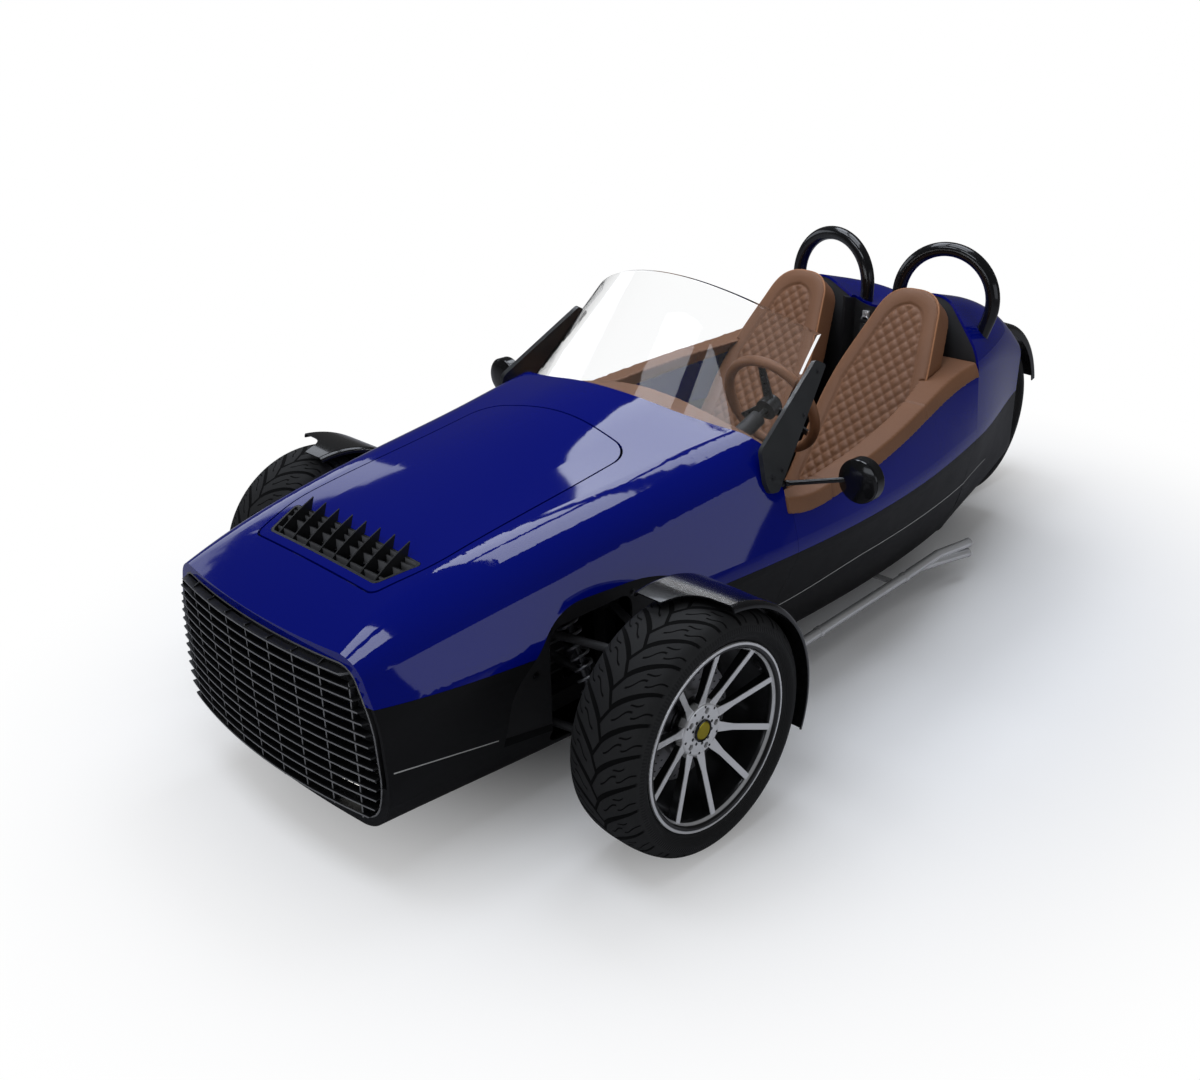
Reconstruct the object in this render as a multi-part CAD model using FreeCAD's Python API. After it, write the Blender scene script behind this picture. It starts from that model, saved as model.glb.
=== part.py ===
import FreeCAD, Part
import math
import os

os.makedirs("parts", exist_ok=True)

# Millimetres. The car faces -Y, its left side is +X, up is +Z and the ground is Z = 0.

# ---- driving dimensions ----
WHEELBASE = 2540.0
FRONT_AXLE_Y = -1100.0
REAR_AXLE_Y = FRONT_AXLE_Y + WHEELBASE
BODY_WIDTH_OVER_TYRES = 1740.0
FRONT_TYRE_R = 318.0
FRONT_TYRE_W = 225.0
REAR_TYRE_R = 328.0
REAR_TYRE_W = 285.0
RIM_R = 228.6
TRACK_HALF = (BODY_WIDTH_OVER_TYRES - FRONT_TYRE_W) / 2
SKIN = 8.0
TUB_WALL = 30.0
PANEL_GAP = 0.8
MOVING_GAP = 5.0
SEAT_GAP = 0.3
SPLIT_Z = 500.0
FRONT_SEAM_Y = -460.0
REAR_SEAM_Y = 700.0
NOSE_Y = -1785.0
OVERALL_LENGTH = 3624.0
TAIL_END_Y = 1313.0
COWL_Y = -605.0
TRIM_FRONT_Z = 640.0
TRIM_REAR_Z = 766.0
TRIM_HEIGHT = 46.0
TRIM_WIDTH = 62.0
DASH_REAR_Y = -415.0
HOOD_HALF = 290.0
HOOD_FRONT_Y = -1612.0
HOOD_REAR_Y = -788.0
VENT_REAR_Y = -1470.0
ARCH_INNER_X = 437.0
WELL_WALL = 8.0
KINGPIN_X = 700.0
STEER_ARM = 100.0
HOOP_TUBE_R = 24.0
HOOP_CENTRE_X = 234.0
HOOP_HALF = 168.0
HOOP_INNER_Y = 806.0
HOOP_OUTER_Y = 854.0
HOOP_SPLAY = 18.0
HOOP_FOOT_Z = 640.0
HOOP_TOP_Z = 1095.0
EXHAUST_R = 16.0
EXHAUST_X = 505.0
EXHAUST_Z = 106.0
SEAT_X = 228.0
SEAT_HALF = 186.0
STEERING_X = 222.0
STEERING_TILT = 22.0
HOOD_OPEN = 50.0

# body
WAIST_Z = 500.0
SILL_Z = 270.0
FAR = 2000.0
FACE_HALF = 520.0
FACE_SWEEP = 52.0
LIP_WIDTH = 22.0
LIP_DEPTH = 14.0
CHIN_Z = 300.0
TOOTH = 6.0
GRILLE_FRAME = 5.0
HINGE_X = 236.0
HINGE_PIN_R = 4.0
WELL_HALF = 172.0
TAIL_LEAN_Z = 790.0
TAIL_LEAN_TOP_Z = 1020.0
TAIL_LEAN = 90.0
RECESS_HALF = 90.0
RECESS_Y = 770.0
BULK_T = 8.0

# front end
BAR = 4.0
BAR_ROWS = 14
BAR_COLUMNS = 9
BAR_DEPTH = 22.0
VENT_FINS = 8

# wheels
FRONT_BEAD = 90.0
HUB_R = 66.0
LUGS = 5
LUG_CIRCLE_R = 50.0
LUG_HOLE_R = 8.0
LUG_DEPTH = 18.0
REAR_BEAD = 118.0
DISC_R = 150.0
DISC_T = 22.0
HUB_FACE = 15.0
TIE_ROD_Z = 262.0
FENDER_T = 4.0

# cockpit
FIREWALL_Y = -650.0
GLASS = 6.0
SCREEN_FOOT_Z = 735.0
SCREEN_FOOT_HALF = 484.0
SCREEN_SHOULDER = (432.0, 1030.0)
SCREEN_TOP_Z = 1165.0
SCREEN_CONE_Z = 1200.0
SCREEN_FOOT_R = 638.0
SCREEN_CONE_R = 398.0
SCREEN_NOSE_Y = -728.0
SCREEN_CONE_NOSE_Y = -314.0
SCREEN_SIDE_Y = -60.0
BLADE_T = 14.0
BLADE_LEAN = 15.1

# rear end
PIVOT_Y = 1000.0


def vec(x, y, z):
    return FreeCAD.Vector(x, y, z)


def save(node, *solids):
    shape = solids[0] if len(solids) == 1 else Part.makeCompound(list(solids))
    shape.exportStep(f"parts/{node}.step")


def only_solid(shape):
    return max(shape.Solids, key=lambda s: s.Volume)


def fuse_all(shapes):
    whole = shapes[0]
    if len(shapes) > 1:
        whole = whole.multiFuse(shapes[1:])
    return whole.removeSplitter()


def box(x0, x1, y0, y1, z0, z1):
    return Part.makeBox(x1 - x0, y1 - y0, z1 - z0, vec(x0, y0, z0))


def rod(start, end, radius):
    line = end - start
    return Part.makeCylinder(radius, line.Length, start, line)


def mirrored(shape):
    return shape.mirror(vec(0, 0, 0), vec(1, 0, 0))


def both_sides(shape):
    return [shape, mirrored(shape)]


def turn_at(before, corner, after):
    """Signed turn of a path at a corner, positive to the left."""
    ax, ay = corner[0] - before[0], corner[1] - before[1]
    bx, by = after[0] - corner[0], after[1] - corner[1]
    return math.atan2(ax * by - ay * bx, ax * bx + ay * by)


def rounded_wire(corners, place):
    """Closed wire through corners (u, v, tangent length), each rounded by an arc of that tangent length."""
    count = len(corners)
    edges = []
    ends = []
    for i in range(count):
        before, corner, after = corners[i - 1], corners[i], corners[(i + 1) % count]
        reach = corner[2]
        to_before = math.hypot(before[0] - corner[0], before[1] - corner[1])
        to_after = math.hypot(after[0] - corner[0], after[1] - corner[1])
        ub = ((before[0] - corner[0]) / to_before, (before[1] - corner[1]) / to_before)
        ua = ((after[0] - corner[0]) / to_after, (after[1] - corner[1]) / to_after)
        start = (corner[0] + reach * ub[0], corner[1] + reach * ub[1])
        end = (corner[0] + reach * ua[0], corner[1] + reach * ua[1])
        if reach == 0:
            ends.append((start, end))
            edges.append(None)
            continue
        half = abs(turn_at(before, corner, after)) / 2
        sag = reach * (1 / math.sin(half) - 1 / math.tan(half))
        bisector = (ub[0] + ua[0], ub[1] + ua[1])
        size = math.hypot(*bisector)
        middle = (corner[0] + sag * bisector[0] / size, corner[1] + sag * bisector[1] / size)
        ends.append((start, end))
        edges.append(Part.Arc(place(*start), place(*middle), place(*end)).toShape())
    path = []
    for i in range(count):
        if edges[i] is not None:
            path.append(edges[i])
        here = ends[i][1]
        there = ends[(i + 1) % count][0]
        path.append(Part.makeLine(place(*here), place(*there)))
    return Part.Wire(path)


def inset(corners, wall):
    """Corners of the same closed outline, moved inwards by a wall, with its arcs kept concentric."""
    count = len(corners)
    area = sum(corners[i - 1][0] * corners[i][1] - corners[i][0] * corners[i - 1][1] for i in range(count))
    side = 1 if area > 0 else -1
    moved = []
    for i in range(count):
        before, corner, after = corners[i - 1], corners[i], corners[(i + 1) % count]
        turn = turn_at(before, corner, after)
        along = math.atan2(corner[1] - before[1], corner[0] - before[0])
        reach = wall / math.cos(turn / 2)
        facing = along + turn / 2 + side * math.pi / 2
        u = corner[0] + reach * math.cos(facing)
        v = corner[1] + reach * math.sin(facing)
        shrink = side * wall * math.tan(turn / 2)
        moved.append((u, v, max(corner[2] - shrink, 1.0) if corner[2] else 0))
    return moved


def prism_x(corners, x0, x1):
    """Side-view outline (y, z, tangent length) extruded across the car."""
    wire = rounded_wire(corners, lambda y, z: vec(x0, y, z))
    return Part.Face(wire).extrude(vec(x1 - x0, 0, 0))


def prism_y(corners, y0, y1):
    """Front-view outline (x, z, tangent length) extruded along the car."""
    wire = rounded_wire(corners, lambda x, z: vec(x, y0, z))
    return Part.Face(wire).extrude(vec(0, y1 - y0, 0))


def prism_z(corners, z0, z1):
    """Plan-view outline (x, y, tangent length) extruded upwards."""
    wire = rounded_wire(corners, lambda x, y: vec(x, y, z0))
    return Part.Face(wire).extrude(vec(0, 0, z1 - z0))


def revolve_x(corners, centre_y, centre_z):
    """Outline (x, radius, tangent length) turned about an axle that lies along X."""
    wire = rounded_wire(corners, lambda x, r: vec(x, centre_y, centre_z + r))
    return Part.Face(wire).revolve(vec(0, centre_y, centre_z), vec(1, 0, 0), 360)


# ---- body: sections along the car ----
# Each section is a closed outline with one corner on the centre line, and five on each side:
# shoulder, waist (where the two colours meet), sill and belly.

# y, crown z, shoulder x, shoulder z, waist x, waist z, sill x, belly x, belly z
FRONT_SECTIONS = [
    (NOSE_Y, 607, 376, 600, 424, 455, 455, 430, 178),
    (-1450, 722, 400, 708, 505, 500, 445, 385, 132),
    (-1100, 792, 435, 752, 550, 500, 470, 400, 122),
    (-780, 866, 470, 782, 580, 500, 490, 410, 116),
    (-480, 922, 512, 812, 600, 500, 502, 420, 112),
    (100, 900, 500, 820, 586, 500, 500, 425, 110),
    (REAR_SEAM_Y, 890, 455, 800, 482, 500, 440, 375, 118),
]

# y, valley z, bulge x, bulge z, shoulder x, shoulder z, waist x, sill x, belly x, belly z
TAIL_SECTIONS = [
    (REAR_SEAM_Y, 868, 262, 1004, 455, 790, 482, 440, 375, 118),
    (1000, 822, 240, 926, 385, 770, 400, 368, 310, 135),
    (1190, 768, 222, 850, 335, 724, 338, 332, 275, 160),
    (TAIL_END_Y, 700, 205, 752, 303, 672, 302, 305, 255, 190),
]


def closed_section(centre, side):
    """Whole outline from its centre corner and its right-hand corners, listed downwards."""
    left = [(-x, z, t) for x, z, t in side]
    return [centre] + left + side[::-1]


def front_section(row):
    y, crown, sx, sz, wx, wz, lx, bx, bz = row
    nose = y == NOSE_Y
    side = [
        (sx, sz, 48 if nose else 100),
        (wx, wz, 40),
        (lx, SILL_Z + (30 if nose else 0), 45 if nose else 60),
        (bx, bz, 74 if nose else 55),
    ]
    return closed_section((0, crown, 200), side)


def tail_section(row):
    y, valley, ux, uz, sx, sz, wx, lx, bx, bz = row
    side = [
        (ux, uz, 105 if uz > 800 else 40),
        (sx, sz, 60 if sz > 700 else 35),
        (wx, WAIST_Z, 40),
        (lx, SILL_Z, 40),
        (bx, bz, 40),
    ]
    return closed_section((0, valley, 90), side)


def body_loft(table, section, wall):
    wires = []
    for row in table:
        corners = section(row)
        if wall:
            corners = inset(corners, wall)
        wires.append(rounded_wire(corners, lambda x, z, y=row[0]: vec(x, y, z)))
    return Part.makeLoft(wires, True, False)


front_outer = body_loft(FRONT_SECTIONS, front_section, 0)
front_inner = body_loft(FRONT_SECTIONS, front_section, SKIN)
tub_inner = body_loft(FRONT_SECTIONS, front_section, TUB_WALL)
tail_outer = body_loft(TAIL_SECTIONS, tail_section, 0)
tail_inner = body_loft(TAIL_SECTIONS, tail_section, SKIN)

half_gap = PANEL_GAP / 2


def trim_line(lift, y0=-640.0, y1=REAR_SEAM_Y + 60):
    """Region above the cockpit's edge, in side view."""
    slope = (TRIM_REAR_Z - TRIM_FRONT_Z) / (REAR_SEAM_Y + 420)
    rear_z = TRIM_REAR_Z + slope * (y1 - REAR_SEAM_Y)
    corners = [
        (y0, TRIM_FRONT_Z + 75 + lift, 0),
        (-420, TRIM_FRONT_Z + lift, 90),
        (y1, rear_z + lift, 0),
        (y1, FAR, 0),
        (y0, FAR, 0),
    ]
    return prism_x(corners, -FAR, FAR)


def behind_cowl(shift):
    """Everything behind the arched rear edge of the cowl."""
    middle = vec(0, COWL_Y + shift, 0)
    arc = Part.Arc(vec(-520, -480 + shift, 0), middle, vec(520, -480 + shift, 0)).toShape()
    points = [vec(520, -480 + shift, 0), vec(FAR, -480 + shift, 0), vec(FAR, FAR, 0), vec(-FAR, FAR, 0),
              vec(-FAR, -480 + shift, 0), vec(-520, -480 + shift, 0)]
    wire = Part.Wire([arc] + [Part.makeLine(a, b) for a, b in zip(points, points[1:])])
    return Part.Face(wire).extrude(vec(0, 0, FAR))


def hood_plan(grow):
    """Plan outline of the hood: it widens behind the vent and has round rear corners."""
    half = HOOD_HALF + grow
    return [
        (-246 - grow, HOOD_FRONT_Y - grow, 20),
        (246 + grow, HOOD_FRONT_Y - grow, 20),
        (half, VENT_REAR_Y, 60),
        (half, HOOD_REAR_Y - 20 + grow, 70),
        (0, HOOD_REAR_Y + 14 + grow, 120),
        (-half, HOOD_REAR_Y - 20 + grow, 70),
        (-half, VENT_REAR_Y, 60),
    ]


arch_side = [
    (-1400, 0, 0),
    (-1412, 445, 70),
    (-1265, 592, 80),
    (-900, 592, 150),
    (-665, 408, 60),
    (-640, 0, 0),
]
arch_cut = prism_x(arch_side, ARCH_INNER_X, FAR)
arches = fuse_all(both_sides(arch_cut))


def ahead_of_nose(shift):
    """Everything ahead of the nose's face, which is swept back at its sides."""
    left = vec(-FACE_HALF, NOSE_Y + FACE_SWEEP + shift, 0)
    right = vec(FACE_HALF, NOSE_Y + FACE_SWEEP + shift, 0)
    arc = Part.Arc(left, vec(0, NOSE_Y + shift, 0), right).toShape()
    points = [right, vec(FACE_HALF, -2 * FAR, 0), vec(-FACE_HALF, -2 * FAR, 0), left]
    wire = Part.Wire([arc] + [Part.makeLine(a, b) for a, b in zip(points, points[1:])])
    return Part.Face(wire).extrude(vec(0, 0, FAR))


nose_outline = front_section(FRONT_SECTIONS[0])
beyond_nose = ahead_of_nose(0)
front_shell = front_outer.cut(front_inner).cut(beyond_nose)

# lip round the nose's opening: painted above the waist, a chin below
lip = front_outer.cut(body_loft(FRONT_SECTIONS, front_section, LIP_WIDTH))
lip = lip.common(ahead_of_nose(LIP_DEPTH)).cut(beyond_nose)
hood_hole = prism_z(hood_plan(0), 560, FAR)
hood_cut = prism_z(hood_plan(MOVING_GAP), 560, FAR)
cockpit_cut = trim_line(-TRIM_HEIGHT).common(behind_cowl(0))

# front body: nose, fenders' tops and cowl in one panel above the waist
upper = front_shell.common(box(-FAR, FAR, -FAR, FRONT_SEAM_Y - half_gap, SPLIT_Z + half_gap, FAR))
upper_lip = lip.common(box(-FAR, FAR, -FAR, 0, SPLIT_Z + half_gap, FAR))
front_panel = upper.cut([hood_cut, cockpit_cut, arches])

# hood and its vent opening
vent_hole = prism_z([
    (-226, HOOD_FRONT_Y + 22, 15),
    (226, HOOD_FRONT_Y + 22, 15),
    (268, VENT_REAR_Y - 8, 15),
    (-268, VENT_REAR_Y - 8, 15),
], 560, FAR)


def surface_z(x, y):
    """Height of the body's outer surface above a point in plan."""
    return Part.makeLine(vec(x, y, 400), vec(x, y, FAR)).common(front_outer).BoundBox.ZMax


def link(start, end, width, x0, x1):
    """Flat bar between two side-view points (y, z), with round ends."""
    a, b = vec(x0, *start), vec(x0, *end)
    run = b - a
    across = vec(0, -run.z, run.y)
    across.normalize()
    across = across * (width / 2)
    loop = Part.makePolygon([a - across, b - across, b + across, a + across, a - across])
    bar = Part.Face(loop).extrude(vec(x1 - x0, 0, 0))
    for at in (a, b):
        bar = bar.fuse(rod(at, at + vec(x1 - x0, 0, 0), width / 2))
    return bar


# the hood swings on two goosenecks that reach forward under the nose
HINGE_Y = HOOD_FRONT_Y - 60
HINGE_Z = surface_z(HINGE_X, HOOD_FRONT_Y) - 42
swing = math.radians(HOOD_OPEN)
open_elbow = (84.0, 22.0)
elbow = (
    HINGE_Y + open_elbow[0] * math.cos(swing) + open_elbow[1] * math.sin(swing),
    HINGE_Z - open_elbow[0] * math.sin(swing) + open_elbow[1] * math.cos(swing),
)
hold_y = HINGE_Y + 105
hold = (hold_y, surface_z(HINGE_X + 4, hold_y) - SKIN - 3)
gooseneck = fuse_all([
    link((HINGE_Y, HINGE_Z), elbow, 8, HINGE_X, HINGE_X + 8),
    link(elbow, hold, 8, HINGE_X, HINGE_X + 8),
    rod(vec(HINGE_X, HINGE_Y, HINGE_Z), vec(HINGE_X + 8, HINGE_Y, HINGE_Z), 8),
])
gooseneck = gooseneck.cut(
    rod(vec(HINGE_X - 1, HINGE_Y, HINGE_Z), vec(HINGE_X + 9, HINGE_Y, HINGE_Z), HINGE_PIN_R + 0.3))
hood_panel = front_shell.common(hood_hole).cut(vent_hole)
hood = only_solid(fuse_all([hood_panel] + both_sides(gooseneck)))
save("hood", hood)
hinge_pin = rod(vec(HINGE_X - 2, HINGE_Y, HINGE_Z), vec(HINGE_X + 16, HINGE_Y, HINGE_Z), HINGE_PIN_R)
hinge_ear = box(HINGE_X + 10, HINGE_X + 16, HINGE_Y - 12, HINGE_Y + 12, HINGE_Z - 10, HINGE_Z + 60)
hinge_ear = hinge_ear.common(front_inner.cut(box(-FAR, FAR, -FAR, FAR, 0, 300)))

front_body = only_solid(fuse_all([front_panel, upper_lip] + both_sides(hinge_ear.fuse(hinge_pin))))
save("front_body", front_body)

lower = front_shell.common(box(-FAR, FAR, -FAR, FRONT_SEAM_Y - half_gap, 0, SPLIT_Z - half_gap))
window_side = [(-1245, 172, 30), (-955, 172, 30), (-955, 505, 40), (-1245, 505, 40)]
windows = fuse_all(both_sides(prism_x(window_side, 400, 500)))
chin = lip.common(box(-FAR, FAR, -FAR, 0, 0, CHIN_Z))
lower_front_body = only_solid(lower.cut(arches).cut(windows).fuse(chin).removeSplitter())
save("lower_front_body", lower_front_body)

tub_shell = front_outer.cut(tub_inner)
side_zone = box(0, FAR, FRONT_SEAM_Y + half_gap, REAR_SEAM_Y - half_gap, SPLIT_Z + half_gap, FAR)
above_edge = trim_line(-TRIM_HEIGHT)
left_side = only_solid(tub_shell.common(side_zone).cut(above_edge))
save("side_panels", *both_sides(left_side))

tub_zone = box(-FAR, FAR, FRONT_SEAM_Y + half_gap, REAR_SEAM_Y - half_gap, 0, SPLIT_Z - half_gap)
save("cockpit_tub", only_solid(tub_shell.common(tub_zone)))

# padded rim round the cockpit
rim_outer = body_loft(FRONT_SECTIONS, front_section, -6.0)
rim_inner = body_loft(FRONT_SECTIONS, front_section, TRIM_WIDTH)
rim_zone = trim_line(SEAT_GAP - TRIM_HEIGHT).cut(trim_line(0))
rim_box = box(0, FAR, -FAR, REAR_SEAM_Y - 1, 500, FAR)
rim_reach = rim_box.common(behind_cowl(SEAT_GAP))
left_rim_solid = only_solid(rim_outer.cut(rim_inner).common(rim_zone).common(rim_reach))
save("cockpit_trim", *both_sides(left_rim_solid))
rim_room = rim_outer.cut(body_loft(FRONT_SECTIONS, front_section, TRIM_WIDTH + SEAT_GAP))
dash_clear = rim_room.common(trim_line(-TRIM_HEIGHT)).common(behind_cowl(0))
rim_room = rim_room.common(trim_line(-TRIM_HEIGHT).cut(trim_line(SEAT_GAP))).common(rim_box)

# tail
tail_shell = tail_outer.cut(tail_inner)
wheel_slot = box(-WELL_HALF, WELL_HALF, REAR_AXLE_Y - REAR_TYRE_R - 30, FAR, 0, REAR_TYRE_R * 2 + 25)
belt_recess = box(-RECESS_HALF, RECESS_HALF, 600, RECESS_Y, SPLIT_Z, FAR)
tail_upper = tail_shell.common(box(-FAR, FAR, REAR_SEAM_Y + half_gap, FAR, SPLIT_Z + half_gap, FAR))


def behind_seats(shift):
    """Everything behind the tail's front edge, which leans back above the cockpit's trim."""
    corners = [
        (REAR_SEAM_Y + shift, SPLIT_Z, 0),
        (REAR_SEAM_Y + shift, TAIL_LEAN_Z, 60),
        (REAR_SEAM_Y + shift + TAIL_LEAN, TAIL_LEAN_TOP_Z, 0),
        (FAR, TAIL_LEAN_TOP_Z, 0),
        (FAR, SPLIT_Z, 0),
    ]
    return prism_x(corners, -FAR, FAR)


tail_upper = tail_upper.common(behind_seats(half_gap))


def hoop(radius):
    """Left roll hoop: an arch whose plane turns back towards the middle, with its outer leg splayed."""
    outer_x = HOOP_CENTRE_X + HOOP_HALF
    inner_x = HOOP_CENTRE_X - HOOP_HALF
    slope = (HOOP_OUTER_Y - HOOP_INNER_Y) / (outer_x - inner_x)
    spring_z = HOOP_TOP_Z - HOOP_HALF
    splay = math.radians(HOOP_SPLAY)

    def at(x, z):
        return vec(x, HOOP_INNER_Y + slope * (x - inner_x), z)

    knee_x = HOOP_CENTRE_X + HOOP_HALF * math.cos(splay)
    knee_z = spring_z - HOOP_HALF * math.sin(splay)
    foot_x = knee_x - (knee_z - HOOP_FOOT_Z) * math.tan(splay)
    path = Part.Wire([
        Part.makeLine(at(inner_x, HOOP_FOOT_Z), at(inner_x, spring_z)),
        Part.Arc(at(inner_x, spring_z), at(HOOP_CENTRE_X, HOOP_TOP_Z), at(knee_x, knee_z)).toShape(),
        Part.makeLine(at(knee_x, knee_z), at(foot_x, HOOP_FOOT_Z)),
    ])
    start = Part.Wire([Part.Circle(at(inner_x, HOOP_FOOT_Z), vec(0, 0, 1), radius).toShape()])
    return path.makePipeShell([start], True, True)


hoops = both_sides(hoop(HOOP_TUBE_R))
hoop_holes = fuse_all(both_sides(hoop(HOOP_TUBE_R + SEAT_GAP)))
tail_body = only_solid(tail_upper.cut(belt_recess).cut(wheel_slot).cut(hoop_holes))
save("tail_body", tail_body)
tail_lower = tail_shell.common(box(-FAR, FAR, REAR_SEAM_Y + half_gap, FAR, 0, SPLIT_Z - half_gap))
save("lower_tail", only_solid(tail_lower.cut(wheel_slot)))

tail_space = body_loft(TAIL_SECTIONS, tail_section, SKIN + SEAT_GAP)
bulk_low = box(-FAR, FAR, REAR_SEAM_Y + 4, REAR_SEAM_Y + 4 + BULK_T, 0, SPLIT_Z)
bulk_high = behind_seats(4).cut(behind_seats(4 + BULK_T)).cut(box(-FAR, FAR, FAR - 100, 2 * FAR, 0, FAR))
bulk_front = tail_space.common(bulk_low.fuse(bulk_high))
pocket = box(-RECESS_HALF + 1, RECESS_HALF - 1, 600, RECESS_Y - 1, SPLIT_Z - 51, FAR)
pocket_shell = box(-RECESS_HALF - BULK_T, RECESS_HALF + BULK_T, REAR_SEAM_Y + 4, RECESS_Y + BULK_T - 1,
                   SPLIT_Z - 60, FAR)
bulkhead = bulk_front.fuse(pocket_shell.common(tail_space)).cut(pocket).cut(hoop_holes)
save("rear_bulkhead", only_solid(bulkhead.removeSplitter()))

swing_slot = box(-212, -145, REAR_AXLE_Y - 200, REAR_AXLE_Y, 240, 430)
rear_face = tail_space.common(box(-FAR, FAR, TAIL_END_Y - 10, TAIL_END_Y - 2, 0, FAR)).cut(wheel_slot)
save("tail_panel", *rear_face.cut(swing_slot).Solids)

# ---- front end ----
frame_outer = body_loft(FRONT_SECTIONS, front_section, LIP_WIDTH + SEAT_GAP)
frame_hole = body_loft(FRONT_SECTIONS, front_section, LIP_WIDTH + GRILLE_FRAME)
grille_frame = frame_outer.cut(frame_hole).common(ahead_of_nose(LIP_DEPTH)).cut(beyond_nose)


def bulged_slab(front_offset, depth, z0, z1):
    """Curved slab behind the nose's bulge, in plan an arc across the opening."""
    half = 480.0
    edge = NOSE_Y + 33 + front_offset
    tip = -OVERALL_LENGTH / 2 + front_offset
    front = Part.Arc(vec(-half, edge, z0), vec(0, tip, z0), vec(half, edge, z0)).toShape()
    rear_edge = edge + depth
    back = Part.Arc(vec(half, rear_edge, z0), vec(0, tip + depth, z0), vec(-half, rear_edge, z0)).toShape()
    right = Part.makeLine(vec(half, edge, z0), vec(half, edge + depth, z0))
    left = Part.makeLine(vec(-half, edge + depth, z0), vec(-half, edge, z0))
    return Part.Face(Part.Wire([front, right, back, left])).extrude(vec(0, 0, z1 - z0))


inner_wall = LIP_WIDTH + GRILLE_FRAME - 1
inside_nose = body_loft(FRONT_SECTIONS, front_section, inner_wall)
ahead_prism = prism_y(inset(nose_outline, inner_wall), NOSE_Y - 60, NOSE_Y + 0.5)
side_band = prism_y(inset(nose_outline, -TOOTH - 8), NOSE_Y - 60, NOSE_Y + 60)
side_band = side_band.common(box(-FAR, FAR, -FAR, 0, CHIN_Z, WAIST_Z - 40)).common(ahead_of_nose(-SEAT_GAP))
first_row, last_row = 214.0, 572.0
row_step = (last_row - first_row) / (BAR_ROWS - 1)
rows = [
    bulged_slab(0, BAR_DEPTH, first_row + i * row_step - BAR / 2, first_row + i * row_step + BAR / 2)
    for i in range(BAR_ROWS)
]
column_step = 92.0
upright = bulged_slab(5, BAR_DEPTH - 5, 120, 640)
columns = [
    upright.common(box(x - BAR / 2, x + BAR / 2, -FAR, 0, 0, FAR))
    for x in [(i - (BAR_COLUMNS - 1) / 2) * column_step for i in range(BAR_COLUMNS)]
]
grid = fuse_all(rows + columns)
bars = [grid.common(region) for region in (inside_nose, ahead_prism, side_band)]
save("grille", only_solid(fuse_all(bars + [grille_frame])))

# radiator and lamps behind the grille
save("radiator", box(-300, 300, -1660, -1620, 190, 540))
lamp = prism_y([(215, 215, 8), (325, 222, 8), (318, 262, 8), (225, 258, 8)], -1735, -1700)
lamp_stay = box(270, 290, -1701, -1640, 228, 248)
save("front_lamps", *both_sides(lamp.fuse(lamp_stay.cut(box(-300, 300, -1660, 0, 0, FAR)))))

# hood vent: a tray with curved cross bars and raked fins
vent_zone = prism_z([
    (-225, HOOD_FRONT_Y + 23, 15),
    (225, HOOD_FRONT_Y + 23, 15),
    (267, VENT_REAR_Y - 9, 15),
    (-267, VENT_REAR_Y - 9, 15),
], 560, FAR)
vent_wall = prism_z([
    (-219, HOOD_FRONT_Y + 29, 12),
    (219, HOOD_FRONT_Y + 29, 12),
    (260, VENT_REAR_Y - 15, 12),
    (-260, VENT_REAR_Y - 15, 12),
], 560, FAR)
under_skin = body_loft(FRONT_SECTIONS, front_section, 34.0)
vent_ring = front_outer.cut(under_skin).common(vent_zone).cut(vent_wall)
fin_side = [
    (HOOD_FRONT_Y + 26, 640, 0),
    (VENT_REAR_Y - 12, 690, 0),
    (VENT_REAR_Y + 4, 742, 0),
    (HOOD_FRONT_Y + 70, 706, 60),
    (HOOD_FRONT_Y + 26, 668, 0),
]
fins = [prism_x(fin_side, x - 2, x + 2) for x in [(i - (VENT_FINS - 1) / 2) * 58 for i in range(VENT_FINS)]]
fin_bound = prism_z([
    (-225, HOOD_FRONT_Y + 24, 0),
    (225, HOOD_FRONT_Y + 24, 0),
    (267, VENT_REAR_Y + 10, 0),
    (-267, VENT_REAR_Y + 10, 0),
], 560, FAR)
bars = []
for y, z in [(-1560, 684), (-1520, 695), (-1495, 700)]:
    bars.append(box(-258, 258, y - 2, y + 2, z - 30, z).common(vent_wall))
hood_vent = fuse_all([vent_ring] + [f.common(fin_bound) for f in fins] + bars)
save("hood_vent", only_solid(hood_vent.cut(hood)))

# ---- wheels ----


def tyre(centre_x, centre_y, radius, width, bead):
    half = width / 2
    side = [
        (bead, RIM_R, 0),
        (bead, RIM_R + 12, 0),
        (half, RIM_R + 34, 10),
        (half - 5, radius - 36, 9),
        (half - 20, radius - 14, 14),
        (half - 50, radius - 4, 16),
        (28, radius, 14),
    ]
    corners = [(centre_x - x, r, t) for x, r, t in side] + [(centre_x + x, r, t) for x, r, t in side[::-1]]
    return revolve_x(corners, centre_y, radius)


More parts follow.
